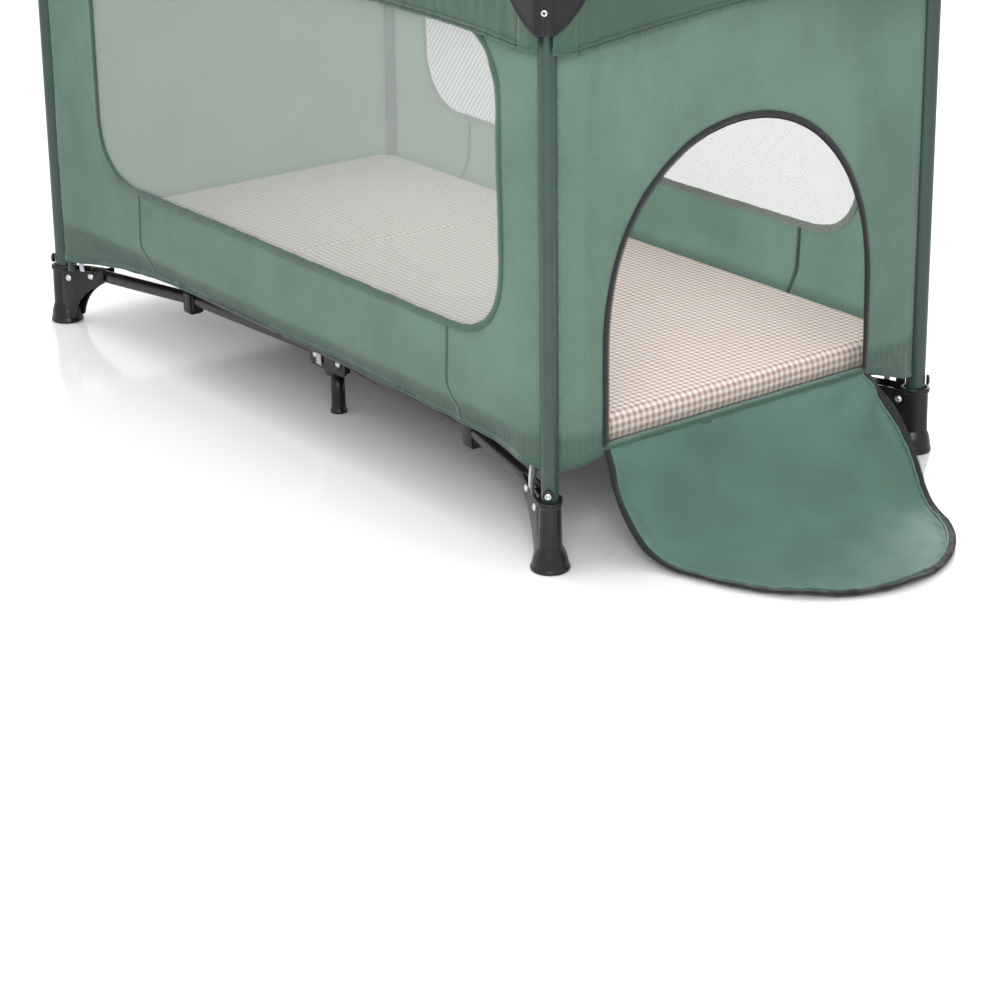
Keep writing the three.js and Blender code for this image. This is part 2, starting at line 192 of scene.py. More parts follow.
class Finish:
    def __init__(self, name):
        self.material = bpy.data.materials.new(name)
        self.material.use_nodes = True
        self.tree = self.material.node_tree
        self.tree.nodes.clear()
        self.output = self.tree.nodes.new("ShaderNodeOutputMaterial")
        self.shader = self.tree.nodes.new("ShaderNodeBsdfPrincipled")
        self.tree.links.new(self.shader.outputs[0], self.output.inputs["Surface"])

    def join(self, value, socket):
        if isinstance(value, Value):
            self.tree.links.new(value.socket, socket)
        else:
            socket.default_value = value

    def node(self, kind, settings=None, *values, output=0, **named):
        node = self.tree.nodes.new(kind)
        for key, value in (settings or {}).items():
            if key == "stops":
                for stop, (at, colour) in zip(node.color_ramp.elements, value):
                    stop.position, stop.color = at, colour
            else:
                setattr(node, key, value)
        for socket, value in zip(node.inputs, values):
            self.join(value, socket)
        for key, value in named.items():
            self.join(value, node.inputs[key.replace("_", " ")])
        return Value(self, node.outputs[output])

    def object_xyz(self):
        place = self.node("ShaderNodeTexCoord", output=3)
        split = self.tree.nodes.new("ShaderNodeSeparateXYZ")
        self.tree.links.new(place.socket, split.inputs[0])
        return place, [Value(self, s) for s in split.outputs]

    def uv_xy(self):
        place = self.node("ShaderNodeUVMap", {"uv_map": "UVMap"})
        split = self.tree.nodes.new("ShaderNodeSeparateXYZ")
        self.tree.links.new(place.socket, split.inputs[0])
        return place, [Value(self, s) for s in split.outputs[:2]]

    def noise(self, place, scale, detail=3.0, roughness=0.55):
        return self.node(
            "ShaderNodeTexNoise", {}, Vector=place, Scale=scale, Detail=detail, Roughness=roughness
        )

    def mix(self, share, first, second):
        node = self.tree.nodes.new("ShaderNodeMix")
        node.data_type = "RGBA"
        self.join(share, node.inputs[0])
        self.join(first, node.inputs[6])
        self.join(second, node.inputs[7])
        return Value(self, node.outputs[2])

    def bump(self, height, distance, strength=1.0, under=None):
        named = {"Height": height, "Distance": distance, "Strength": strength}
        if under is not None:
            named["Normal"] = under
        return self.node("ShaderNodeBump", {}, **named)

    def set(self, **sockets):
        for key, value in sockets.items():
            self.join(value, self.shader.inputs[key.replace("_", " ")])
        return self

    def let_light_through(self, colour, share):
        """Thin cloth: part of the light that lands on one side comes out of the other."""
        glow = self.tree.nodes.new("ShaderNodeBsdfTranslucent")
        self.join(colour, glow.inputs["Color"])
        blend = self.tree.nodes.new("ShaderNodeMixShader")
        blend.inputs[0].default_value = share
        self.tree.links.new(self.shader.outputs[0], blend.inputs[1])
        self.tree.links.new(glow.outputs[0], blend.inputs[2])
        self.tree.links.new(blend.outputs[0], self.output.inputs["Surface"])
        return self


# %% [markdown]
# ## Cloth finishes
# The walls are thin dyed polyester. Close up it is a plain weave of threads about half a millimetre
# apart; from a step away it shows slubs, faint rubbing and soft creases. Every wall stands along X or
# along Y, so `x + y` runs along the cloth on all four of them, and `z` runs up it.

# %% Woven polyester
THREAD = 0.0006
RUB = 0.14
# Pitch of the faint checks in the painted shade on the wall below the mattress's top.
MATTRESS_SHADE_CHECK = 0.0105


def woven(name, colour, roughness=0.62, crease=0.5, glow=0.0, thread=THREAD, cover=1.0, mattress_shade=0.0):
    """glow is the share of light that passes through, cover how much of the cloth is thread, and
    the last argument how strongly the wall's foot is darkened, with faint checks, below the mattress's top:
    painted shade where the mattress behind blocks the light through the cloth."""
    finish = Finish(name)
    place, (x, y, z) = finish.object_xyz()
    along = x + y
    turn = 2 * math.pi / thread
    warp, weft = (along * turn).sine(), (z * turn).sine()
    weave = warp * weft * 0.5 + 0.5
    slub = finish.noise(
        finish.node("ShaderNodeMapping", {}, Vector=place, Scale=(1.0, 1.0, 0.12)), 900.0, 2.0
    )
    cloudy = finish.noise(place, 9.0, 4.0)
    creases = finish.noise(place, 34.0, 5.0, 0.6)
    deep = tuple(c * (1 - RUB) for c in colour[:3]) + (1,)
    pale = tuple(min(1, c * (1 + RUB)) for c in colour[:3]) + (1,)
    shade = cloudy * 0.55 + slub * 0.3 + weave * 0.15
    dyed = finish.mix(shade.step(0.3, 0.7), deep, pale)
    lit = finish.mix(shade.step(0.3, 0.7), pale, tuple(min(1, c * 1.25) for c in pale[:3]) + (1,))
    # Painted shade: below the mattress's top the wall's colour and the light it lets through are darkened, with
    # faint checks, where the mattress behind blocks the light.
    if mattress_shade:
        shade_checks = (along * (2 * math.pi / MATTRESS_SHADE_CHECK)).sine() * 0.12 + slub * 0.5 + 0.62
        shade_band = (1.0 - z.step(0.158, 0.176)) * shade_checks
        dark = tuple(c * 0.50 for c in colour[:3]) + (1,)
        dyed = finish.mix(shade_band * mattress_shade, dyed, dark)
        lit = finish.mix(shade_band * mattress_shade, lit, dark)
    relief = finish.bump(creases, 0.0022, crease)
    relief = finish.bump(weave * 0.6 + slub * 0.4, 0.00012, 0.55, relief)
    finish.set(Base_Color=dyed, Roughness=roughness + slub * 0.12, Normal=relief)
    finish.set(Sheen_Weight=0.25, Sheen_Roughness=0.5, Specular_IOR_Level=0.3, Alpha=cover)
    if glow:
        finish.let_light_through(lit, glow)
    return finish.material


# The wall cloth carries painted shade at its foot, below the mattress's top.
wall_cloth = woven("sage wall cloth", linear(131, 157, 144), glow=0.52, cover=0.80, mattress_shade=0.55)
hem_cloth = woven("folded sage hem", linear(66, 92, 80), glow=0.10)
# Painted shade: the sleeves are the walls' cloth in a darker green, standing in for the light that the thin
# walls let through and the padded sleeves don't.
sleeve_cloth_painted_shade = woven("padded sleeve cloth with painted shade", linear(60, 87, 71), glow=0.08, crease=0.7)
binding_tape = woven("grosgrain binding", linear(56, 82, 70), 0.7, 0.25, thread=0.0011)
lining = woven("dark base lining", linear(52, 56, 56), 0.8, 0.4)
webbing = woven("grey webbing", linear(205, 206, 216), 0.75, 0.2, thread=0.0016)
zip_tape = woven("black zip tape", linear(28, 30, 33), 0.7, 0.15, thread=0.0012)

# %% [markdown]
# The door flap shows the coated side of the same cloth: a deeper green with a soft shine, whose
# highlights break up over the puckers.

# %% Coated flap cloth


def coated_cloth():
    finish = Finish("coated flap cloth")
    place, (x, y, _) = finish.object_xyz()
    creases = finish.noise(place, 11.0, 3.0, 0.5)
    fine = finish.noise(place, 210.0, 3.0)
    cloudy = finish.noise(place, 7.0, 3.0)
    turn = 2 * math.pi / THREAD
    weave = (x * turn).sine() * (y * turn).sine()
    colour = finish.mix(cloudy.step(0.3, 0.7), linear(76, 108, 95), linear(88, 122, 108))
    relief = finish.bump(creases, 0.0030, 0.4)
    relief = finish.bump(weave * 0.5 + fine, 0.00015, 0.5, relief)
    finish.set(Base_Color=colour, Roughness=0.34 + fine * 0.12, Normal=relief)
    finish.set(Sheen_Weight=0.2, Sheen_Roughness=0.35, Specular_IOR_Level=0.45)
    return finish.let_light_through(colour, 0.12).material


flap_cloth = coated_cloth()

# %% [markdown]
# The windows are knitted net. Two families of threads cross at a slant and leave diamond holes about
# two millimetres wide. The holes are cut with Alpha, so light and sight go through them.

# %% Net
NET_PITCH = 0.0027


def knitted_net():
    finish = Finish("window net")
    place, (x, y, z) = finish.object_xyz()
    along = x + y
    turn = math.pi / NET_PITCH
    rising = ((along + z * 0.8) * turn).sine().absolute()
    falling = ((along - z * 0.8) * turn).sine().absolute()
    open_hole = rising.at_most(falling).step(0.40, 0.56)
    fibre = finish.noise(place, 1500.0, 2.0)
    colour = finish.mix(fibre, linear(150, 158, 152), linear(176, 182, 178))
    relief = finish.bump(rising.at_most(falling), 0.0002, 0.4)
    finish.set(Base_Color=colour, Roughness=0.75, Alpha=1.0 - open_hole * 0.95, Normal=relief)
    finish.set(Sheen_Weight=0.2)
    return finish.material


window_net = knitted_net()

# %% [markdown]
# The mattress cover is a gingham: stripes of beige and white thread in both directions, which give
# white, half-tone and full beige squares where they cross. The pattern follows the cover, so it reads
# the cover's own UV map, laid out in metres.

# %% Gingham
CHECK = 0.0096


def gingham():
    finish = Finish("gingham mattress cover")
    place, (u, v) = finish.uv_xy()
    turn = 2 * math.pi / CHECK
    across = (u * turn).sine().step(-0.10, 0.10)
    along = (v * turn).sine().step(-0.10, 0.10)
    thread_turn = 2 * math.pi / 0.0008
    ribs = (u * thread_turn).sine() * (v * thread_turn).sine()
    worn = finish.noise(place, 60.0, 4.0)
    tone = (across + along) * 0.5
    colour = finish.mix(tone, linear(224, 217, 214), linear(164, 133, 111))
    colour = finish.mix(worn * 0.10, colour, linear(214, 208, 204))
    soft = finish.noise(place, 11.0, 4.0, 0.6)
    relief = finish.bump(soft, 0.004, 0.35)
    relief = finish.bump(ribs * 0.5 + tone, 0.00015, 0.5, relief)
    finish.set(Base_Color=colour, Roughness=0.86, Normal=relief)
    return finish.set(Sheen_Weight=0.3, Sheen_Roughness=0.5).material


mattress_cover = gingham()

# %% [markdown]
# ## Hard finishes
# The posts wear a satin green paint, the base tubes a dark gunmetal one over a drawn tube, and the
# mouldings are glossy black plastic with a fine grain. Small scuffs raise the roughness in patches.

# %% Paint, plastic and steel


def painted(name, low, high, roughness, metallic, coat=0.25, grain=(1.0, 1.0, 0.02)):
    finish = Finish(name)
    place, _ = finish.object_xyz()
    drawn = finish.noise(finish.node("ShaderNodeMapping", {}, Vector=place, Scale=grain), 900.0)
    peel = finish.noise(place, 420.0, 2.0)
    scuff = finish.noise(place, 38.0, 5.0, 0.7).step(0.56, 0.74)
    colour = finish.mix(drawn * 0.5 + finish.noise(place, 16.0) * 0.5, low, high)
    relief = finish.bump(peel * 0.7 + drawn * 0.3, 0.00018, 0.35)
    finish.set(Base_Color=colour, Metallic=metallic, Normal=relief)
    finish.set(Roughness=roughness + scuff * 0.14 + peel * 0.05)
    return finish.set(Coat_Weight=coat, Coat_Roughness=0.18).material


post_paint = painted("green post paint", linear(40, 61, 54), linear(54, 77, 69), 0.40, 0.22)
tube_paint = painted(
    "gunmetal tube paint", linear(50, 48, 46), linear(74, 71, 67), 0.30, 0.7, 0.2, (0.02, 1.0, 1.0)
)


def moulded(name, colour, roughness=0.24, grain=0.35):
    finish = Finish(name)
    place, _ = finish.object_xyz()
    texture = finish.noise(place, 1400.0, 2.0)
    flow = finish.noise(place, 22.0, 4.0)
    scuff = finish.noise(place, 75.0, 6.0, 0.75).step(0.60, 0.78)
    worn = tuple(min(1, c * 1.9 + 0.012) for c in colour[:3]) + (1,)
    tint = finish.mix(scuff * 0.45, colour, worn)
    finish.set(Base_Color=tint, Roughness=roughness + scuff * 0.22 + flow * 0.08)
    relief = finish.bump(flow, 0.0006, 0.25)
    finish.set(Normal=finish.bump(texture, 0.00007, grain, relief))
    return finish.set(Specular_IOR_Level=0.42).material


black_plastic = moulded("black moulding", linear(14, 15, 19), 0.26)
red_plastic = moulded("red lock button", linear(170, 52, 44), 0.3)
zip_teeth_plastic = moulded("black zip teeth", linear(24, 25, 28), 0.3, 0.1)


def zinc_steel():
    finish = Finish("zinc plated steel")
    place, _ = finish.object_xyz()
    cloud = finish.noise(place, 300.0, 4.0)
    finish.set(Base_Color=finish.mix(cloud, linear(188, 192, 196), linear(222, 225, 228)))
    finish.set(Metallic=1.0, Roughness=0.2 + cloud * 0.16)
    return finish.set(Normal=finish.bump(cloud, 0.00006, 0.4)).material


steel = zinc_steel()
print("finishes", sorted(m.name for m in bpy.data.materials if m.use_nodes)[:20])

# %% [markdown]
# ## Helpers that make meshes
# Most pieces are lofts: a stack of rings, each with the same number of points, joined into a skin.
# The others are cut from a flat outline, the way cloth is. Both are plain arrays of points until
# `make_piece` turns them into an object, shifts them to the cot's middle and gives them a body.

# %% Mesh helpers


def make_piece(name, points, faces, material, body=None, smooth=True, slot=None, stands_for=()):
    mesh = bpy.data.meshes.new(name)
    shifted = [(p[0] + COT_X, p[1], p[2]) for p in points]
    mesh.from_pydata(shifted, [], faces)
    mesh.materials.append(material)
    mesh.polygons.foreach_set("use_smooth", [smooth] * len(mesh.polygons))
    mesh.validate()
    mesh.update()
    obj = bpy.data.objects.new(name, mesh)
    bpy.context.scene.collection.objects.link(obj)
    finish_piece(obj, body, stands_for)
    return obj


def finish_piece(obj, body=None, stands_for=()):
    if body:
        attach(obj, body)
    if stands_for:
        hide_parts(*stands_for)
    return obj


def skin(rings, caps=True, loop=False):
    """Points and faces of a skin through rings. loop joins the last ring to the first."""
    rings = [np.asarray(r, float) for r in rings]
    count = len(rings[0])
    points = np.concatenate(rings)
    faces = []
    for ring in range(len(rings) if loop else len(rings) - 1):
        here, there = ring * count, (ring + 1) % len(rings) * count
        for side in range(count):
            after = (side + 1) % count
            faces.append((here + side, here + after, there + after, there + side))
    if caps and not loop:
        faces.append(tuple(reversed(range(count))))
        faces.append(tuple(range((len(rings) - 1) * count, len(rings) * count)))
    return points, faces


def merged(*parts):
    """Several (points, faces) as one."""
    points, faces, start = [], [], 0
    for some, those in parts:
        points.append(np.asarray(some, float))
        faces += [tuple(i + start for i in face) for face in those]
        start += len(some)
    return np.concatenate(points), faces


def flipped(faces):
    return [tuple(reversed(face)) for face in faces]


def unit(vectors):
    return vectors / np.linalg.norm(vectors, axis=1)[:, None]


def circle(count):
    t = np.linspace(0, 2 * math.pi, count, endpoint=False)
    return np.cos(t), np.sin(t)


def smooth_step(value, low, high):
    t = np.clip((np.asarray(value, float) - low) / (high - low), 0, 1)
    return t * t * (3 - 2 * t)


def tube(path, radius, sides=20, caps=True, loop=False):
    """A round tube along path. radius is one number or one for each point."""
    path = np.asarray(path, float)
    ahead = np.roll(path, -1, 0) - np.roll(path, 1, 0)
    if not loop:
        ahead[0], ahead[-1] = path[1] - path[0], path[-1] - path[-2]
    ahead = unit(ahead)
    side = np.cross(ahead[0], (0.13, 0.21, 0.97))
    radius = np.broadcast_to(radius, len(path))
    across, up = circle(sides)
    rings = []
    for at, direction, r in zip(path, ahead, radius):
        side = side - direction * (side @ direction)
        side /= np.linalg.norm(side)
        other = np.cross(direction, side)
        rings.append(at + r * (np.outer(across, side) + np.outer(up, other)))
    return skin(rings, caps, loop)


def strip(path, side, face, width, thick, loop=False):
    """A flat tape with soft edges. side points across the tape and face away from what it is on."""
    path, side, face = (np.asarray(a, float) for a in (path, side, face))
    outline = [(-0.5, 0.1), (-0.42, 0.5), (0.0, 0.56), (0.42, 0.5), (0.5, 0.1), (0.5, -0.4), (-0.5, -0.4)]
    widths = np.broadcast_to(width, len(path))[:, None]
    rings = [path + side * (widths * a) + face * (thick * b) for a, b in reversed(outline)]
    rings = np.stack(rings, axis=1)
    return skin(list(rings), not loop, loop)


def add_modifier(obj, kind, **settings):
    modifier = obj.modifiers.new(kind.title(), kind)
    for key, value in settings.items():
        setattr(modifier, key, value)
    return modifier


def applied(obj):
    """Bakes the object's modifiers into its mesh."""
    flat = bpy.data.meshes.new_from_object(obj.evaluated_get(bpy.context.evaluated_depsgraph_get()))
    obj.modifiers.clear()
    obj.data = flat
    return obj


def rounded_plate(outline, low, high, axis, bevel=0.0012):
    """A flat plate with softened edges. The outline gives the two other axes in their XYZ order, and
    the plate runs from low to high along axis, which is 0 for X, 1 for Y and 2 for Z."""
    outline = np.asarray(outline, float)
    if axis == 1:
        outline = outline[:, ::-1]
    area = 0.5 * np.sum(
        outline[:, 0] * np.roll(outline[:, 1], -1) - outline[:, 1] * np.roll(outline[:, 0], -1)
    )
    if area < 0:
        outline = outline[::-1]
    ahead = np.roll(outline, -1, 0) - outline
    ahead = unit(ahead)
    behind = np.roll(ahead, 1, 0)
    inward = np.stack([-(ahead + behind)[:, 1], (ahead + behind)[:, 0]], 1)
    inward /= np.maximum(np.linalg.norm(inward, axis=1)[:, None] ** 2 / 2, 0.4)
    rings = []
    for along, inset in ((low, bevel), (low + bevel * 0.3, bevel * 0.3), (low + bevel, 0),
                         (high - bevel, 0), (high - bevel * 0.3, bevel * 0.3), (high, bevel)):
        flat = outline + inward * inset
        ring = np.zeros((len(flat), 3))
        others = [(1, 2), (2, 0), (0, 1)][axis]
        ring[:, others[0]], ring[:, others[1]], ring[:, axis] = flat[:, 0], flat[:, 1], along
        rings.append(ring)
    return skin(rings)


def round_corners(points, radius, steps=5):
    """An outline with its corners rounded by arcs that touch both sides."""
    points = np.asarray(points, float)
    rounded = []
    for before, here, after in zip(np.roll(points, 1, 0), points, np.roll(points, -1, 0)):
        a, b = before - here, after - here
        la, lb = np.linalg.norm(a), np.linalg.norm(b)
        reach = min(radius, la * 0.49, lb * 0.49)
        start, end = here + a / la * reach, here + b / lb * reach
        for t in np.linspace(0, 1, steps):
            rounded.append((1 - t) ** 2 * start + 2 * t * (1 - t) * here + t * t * end)
    return np.array(rounded)


def at_corner(points, corner):
    """From a corner's own frame, at its leg with +X and +Y inboard, to the cot's frame."""
    sx, sy = CORNERS[corner]
    points = np.asarray(points, float)
    moved = points * (-sx, -sy, 1)
    return moved + (sx * LEG_X, sy * LEG_Y, 0)


def corner_piece(name, shape, material, corner, body, **rest):
    sx, sy = CORNERS[corner]
    points, faces = shape
    if sx * sy < 0:
        faces = flipped(faces)
    return make_piece(f"{name}_{corner}", at_corner(points, corner), faces, material, body, **rest)


def moved(shape, by):
    return np.asarray(shape[0], float) + by, shape[1]


def turned(shape, angle):
    """Turned about Z."""
    c, s = math.cos(angle), math.sin(angle)
    points = np.asarray(shape[0], float)
    return points @ np.array([[c, s, 0], [-s, c, 0], [0, 0, 1]]), shape[1]


def block(x0, x1, y0, y1, z0, z1, radius=0.002, bevel=0.0008):
    outline = round_corners([(x0, y0), (x1, y0), (x1, y1), (x0, y1)], radius, 4)
    return rounded_plate(outline, z0, z1, 2, bevel)


def rod(start, end, radius, sides=20):
    return tube([start, end], radius, sides)


# %% [markdown]
# ## Screws, rivets and other repeats
# A cot has dozens of rivets, and its zips have hundreds of teeth. A Geometry Nodes group places one
# sample at each point, turned to the point's own `facing` and `ahead`, and the result is kept as a
# plain mesh that rides on one body.

# %% Repeats with Geometry Nodes


def repeat_group():
    group = bpy.data.node_groups.new("place at points", "GeometryNodeTree")
    sockets = {}
    for label, kind in (("Geometry", "NodeSocketGeometry"), ("Sample", "NodeSocketObject"),
                        ("Finish", "NodeSocketMaterial")):
        sockets[label] = group.interface.new_socket(label, in_out="INPUT", socket_type=kind)
    group.interface.new_socket("Geometry", in_out="OUTPUT", socket_type="NodeSocketGeometry")
    make, link = group.nodes.new, group.links.new
    come, go = make("NodeGroupInput"), make("NodeGroupOutput")
    info, place = make("GeometryNodeObjectInfo"), make("GeometryNodeInstanceOnPoints")
    real, paint = make("GeometryNodeRealizeInstances"), make("GeometryNodeSetMaterial")
    turn = None
    for label, axis, pivot in (("facing", "Z", "AUTO"), ("ahead", "X", "Z")):
        read, align = make("GeometryNodeInputNamedAttribute"), make("FunctionNodeAlignRotationToVector")
        read.data_type, align.axis, align.pivot_axis = "FLOAT_VECTOR", axis, pivot
        read.inputs["Name"].default_value = label
        link(read.outputs["Attribute"], align.inputs["Vector"])
        if turn:
            link(turn.outputs[0], align.inputs["Rotation"])
        turn = align
    link(come.outputs["Geometry"], place.inputs["Points"])
    link(come.outputs["Sample"], info.inputs["Object"])
    link(info.outputs["Geometry"], place.inputs["Instance"])
    link(turn.outputs[0], place.inputs["Rotation"])
    link(place.outputs[0], real.inputs[0])
    link(real.outputs[0], paint.inputs["Geometry"])
    link(come.outputs["Finish"], paint.inputs["Material"])
    link(paint.outputs[0], go.inputs[0])
    return group, {label: socket.identifier for label, socket in sockets.items()}


PLACER, PLACER_INPUTS = repeat_group()


def sample_of(name, shape, smooth=True):
    obj = make_piece(name, moved(shape, (-COT_X, 0, 0))[0], shape[1], steel, smooth=smooth)
    obj.hide_render = True
    obj.hide_viewport = True
    return obj


def repeated(name, sample, places, facing, ahead, material, body=None):
    places = np.asarray(places, float) + (COT_X, 0, 0)
    mesh = bpy.data.meshes.new(name)
    mesh.from_pydata(places.tolist(), [], [])
    for label, value in (("facing", facing), ("ahead", ahead)):
        store = mesh.attributes.new(label, "FLOAT_VECTOR", "POINT")
        vectors = np.broadcast_to(np.asarray(value, np.float32), places.shape)
        store.data.foreach_set("vector", vectors.ravel().astype(np.float32))
    obj = bpy.data.objects.new(name, mesh)
    bpy.context.scene.collection.objects.link(obj)
    modifier = obj.modifiers.new("place", "NODES")
    modifier.node_group = PLACER
    modifier[PLACER_INPUTS["Sample"]] = sample
    modifier[PLACER_INPUTS["Finish"]] = material
    applied(obj)
    return finish_piece(obj, body)


def turned_profile(profile, sides=28):
    """A body of revolution about Z from (radius, z) pairs."""
    across, up = circle(sides)
    return skin([np.stack([r * across, r * up, np.full(sides, z)], 1) for r, z in profile])


def cross_screw_head(radius=0.004, height=0.0018, sides=48, rows=14):
    """A domed head with a cross recess, about the origin and facing +Z."""
    across, up = circle(sides)
    rings = [np.stack([radius * across, radius * up, np.full(sides, -0.0006)], 1)]
    for share in np.cos(np.linspace(0, math.pi / 2, rows, endpoint=False)):
        x, y = radius * share * across, radius * share * up
        dome = height * math.sqrt(max(0, 1 - (share * 0.97) ** 2))
        slot_width, slot_reach = radius * 0.15, radius * 0.62
        near = np.minimum(np.abs(x), np.abs(y)), np.maximum(np.abs(x), np.abs(y))
        cut = (1 - smooth_step(near[0], slot_width * 0.7, slot_width * 1.4))
        cut *= 1 - smooth_step(near[1], slot_reach * 0.85, slot_reach)
        rings.append(np.stack([x, y, dome - cut * height * 0.9], 1))
    return skin(rings)


rivet_head = sample_of(
    "rivet sample",
    turned_profile([(0.0052, -0.0008), (0.0052, 0.0002), (0.0049, 0.0007), (0.0040, 0.0012),
                    (0.0034, 0.0019), (0.0024, 0.0024), (0.0012, 0.0026), (0.0002, 0.0027)]),
)
screw_head = sample_of("screw sample", cross_screw_head())

# %% [markdown]
# ## Posts, feet and corner caps
# The four corners are the same mouldings, mirrored. They are drawn once, in a corner's own frame: the
# origin is on the leg's axis at the floor, +X runs inboard along the cot and +Y inboard across it.

# %% Corner mouldings
DIAGONAL = math.sqrt(0.5)


def oval_ring(z, along, across, count=48, power=2.0):
    """An oval about the leg's axis, its long axis on the corner's diagonal."""
    c, s = circle(count)
    u = along * np.sign(c) * np.abs(c) ** (2 / power)
    v = across * np.sign(s) * np.abs(s) ** (2 / power)
    return np.stack([(u - v) * DIAGONAL, (u + v) * DIAGONAL, np.full(count, z)], 1)


def post_shape():
    heights = [0.0500, 0.0503, *np.linspace(0.08, 0.72, 9), 0.7477, 0.7480]
    sizes = [-0.0004, *[0] * (len(heights) - 2), -0.0004]
    return skin([oval_ring(z, 0.0128 + d, 0.0105 + d) for z, d in zip(heights, sizes)])


FOOT_PROFILE = [
    (0.0000, 0.0232, 0.0232, 2.0), (0.0010, 0.0243, 0.0243, 2.0), (0.0022, 0.0245, 0.0245, 2.0),
    (0.0046, 0.0245, 0.0245, 2.0), (0.0053, 0.0238, 0.0237, 2.0), (0.0060, 0.0237, 0.0234, 2.0),
    (0.0070, 0.0236, 0.0230, 2.0), (0.0100, 0.0231, 0.0223, 2.0), (0.0150, 0.0224, 0.0212, 2.0),
    (0.0200, 0.0214, 0.0197, 2.1), (0.0245, 0.0201, 0.0177, 2.2), (0.0275, 0.0190, 0.0160, 2.3),
    (0.0295, 0.0183, 0.0150, 2.4), (0.0320, 0.0181, 0.0145, 2.5), (0.0500, 0.0180, 0.0141, 2.6),
    (0.0815, 0.0178, 0.0134, 2.6), (0.0830, 0.0182, 0.0138, 2.6),
    (0.0842, 0.0194, 0.0151, 2.5), (0.0852, 0.0196, 0.0153, 2.5), (0.0886, 0.0196, 0.0153, 2.5),
    (0.0896, 0.0192, 0.0149, 2.4), (0.0900, 0.0184, 0.0141, 2.3), (0.0899, 0.0162, 0.0118, 2.1),
    (0.0890, 0.0154, 0.0109, 2.0), (0.0800, 0.0152, 0.0107, 2.0),
]
PIVOT_IN, BASE_PIVOT_Y = 0.055, 0.025
FORK_TURN = math.atan2(BASE_PIVOT_Y, PIVOT_IN)
FORK_GAP = 0.011


def foot_shape():
    column = skin([oval_ring(z, a, b, 56, p) for z, a, b, p in FOOT_PROFILE])
    t = np.linspace(0, 1, 9)[:, None]
    sweep = (1 - t) ** 2 * (0.024, 0.008) + 2 * t * (1 - t) * (0.030, 0.052) + t**2 * (0.078, 0.070)
    web = [(0.004, 0.008), *sweep, (0.084, 0.077), (0.085, 0.0915), (0.080, 0.0925), (0.072, 0.0890),
           (0.034, 0.0885), (0.018, 0.0865), (0.004, 0.084)]
    outline = round_corners(web, 0.004, 3)
    plates = [rounded_plate(outline, low, low + 0.0035, 1, 0.0009)
              for low in (FORK_GAP, -FORK_GAP - 0.0035)]
    return merged(column, *[turned(plate, FORK_TURN) for plate in plates])


CAP_FACE, CAP_SHIELD, CAP_FACET = 0.0255, 0.078, 0.013
CAP_LOW, CAP_ROLL = 0.6560, 0.0075


def cap_path(count=25):
    """The outer line of a corner cap, seen from above, from one shield's end to the other's."""
    f, s, c = CAP_FACE, CAP_SHIELD, CAP_FACET
    side = [(x, -f) for x in np.linspace(s, c - f + 0.004, count)]
    ridge = [(c - f + 0.0015, -f + 0.0004), (c - f - 0.0010, -f + 0.0016)]
    facet = [(c - f - k * c / 4, -f + k * c / 4) for k in (0.6, 1.3)]
    half = np.array(side + ridge + facet)
    middle_point = np.array([[c / 2 - f, c / 2 - f]])
    return np.concatenate([half, middle_point, half[::-1, ::-1]])


def cap_skin():
    path = cap_path()
    steps = np.linalg.norm(np.diff(path, axis=0), axis=1)
    s = np.concatenate([[0], np.cumsum(steps)])
    s -= s[-1] / 2
    reach = s[-1]
    ahead = np.gradient(path, axis=0)
    ahead = unit(ahead)
    inward = np.stack([ahead[:, 1], -ahead[:, 0]], 1)
    inward *= np.sign(np.sum(inward * (np.array([[0.03, 0.03]]) - path), 1))[:, None]
    share = np.abs(s) / reach
    low = CAP_LOW + (TOP_Z - CAP_ROLL - 0.004 - CAP_LOW) * share**1.9
    low += 0.0012 * np.exp(-((s / 0.004) ** 2))
    top = TOP_Z - CAP_ROLL
    rows = []
    for v in (0, 0.015, 0.05, 0.12, 0.25, 0.4, 0.55, 0.7, 0.85, 0.95, 1):
        z = low + (top - low) * v
        swell = 0.0012 * np.sin(math.pi * v) * np.exp(-((s / 0.07) ** 2))
        lip = 0.0007 * (1 - min(1, v / 0.05))
        flat = path - inward * (swell + lip)[:, None]
        rows.append(np.column_stack([flat, z]))
    for angle in np.radians([18, 36, 54, 72, 90]):
        flat = path + inward * CAP_ROLL * (1 - math.cos(angle))
        rows.append(np.column_stack([flat, np.full(len(s), top + CAP_ROLL * math.sin(angle))]))
    edge = path + inward * CAP_ROLL
    notch = np.where(
        (path[:, :1] > path[:, 1:]),
        np.column_stack([np.maximum(path[:, 0], 0.028), np.full(len(s), 0.020)]),
        np.column_stack([np.full(len(s), 0.020), np.maximum(path[:, 1], 0.028)]),
    )
    notch[len(s) // 2] = (0.024, 0.024)
    for v in (0.25, 0.5, 0.75, 0.97, 1.0):
        flat = edge + (notch - edge) * v
        sink = 0.0004 * math.sin(math.pi * v) + (0.0006 if v == 1 else 0)
        rows.append(np.column_stack([flat, np.full(len(s), TOP_Z - sink)]))
    rows.append(np.column_stack([notch, np.full(len(s), TOP_Z - 0.006)]))
    count = len(s)
    points = np.concatenate(rows)
    faces = [
        (r * count + i, r * count + i + 1, (r + 1) * count + i + 1, (r + 1) * count + i)
        for r in range(len(rows) - 1)
        for i in range(count - 1)
    ]
    return points, flipped(faces)


def cap_core():
    socket = block(-0.0180, 0.0180, -0.0180, 0.0180, 0.6620, TOP_Z - 0.0055, 0.008, 0.0015)
    parts = [socket]
    for low in (-0.0155, 0.0115):
        for flip in (False, True):
            x0, x1, y0, y1 = 0.018, 0.070, low, low + 0.004
            if flip:
                x0, x1, y0, y1 = y0, y1, x0, x1
            parts.append(block(x0, x1, y0, y1, RAIL_Z - 0.020, RAIL_Z + 0.018, 0.0012, 0.0006))
    return merged(*parts)


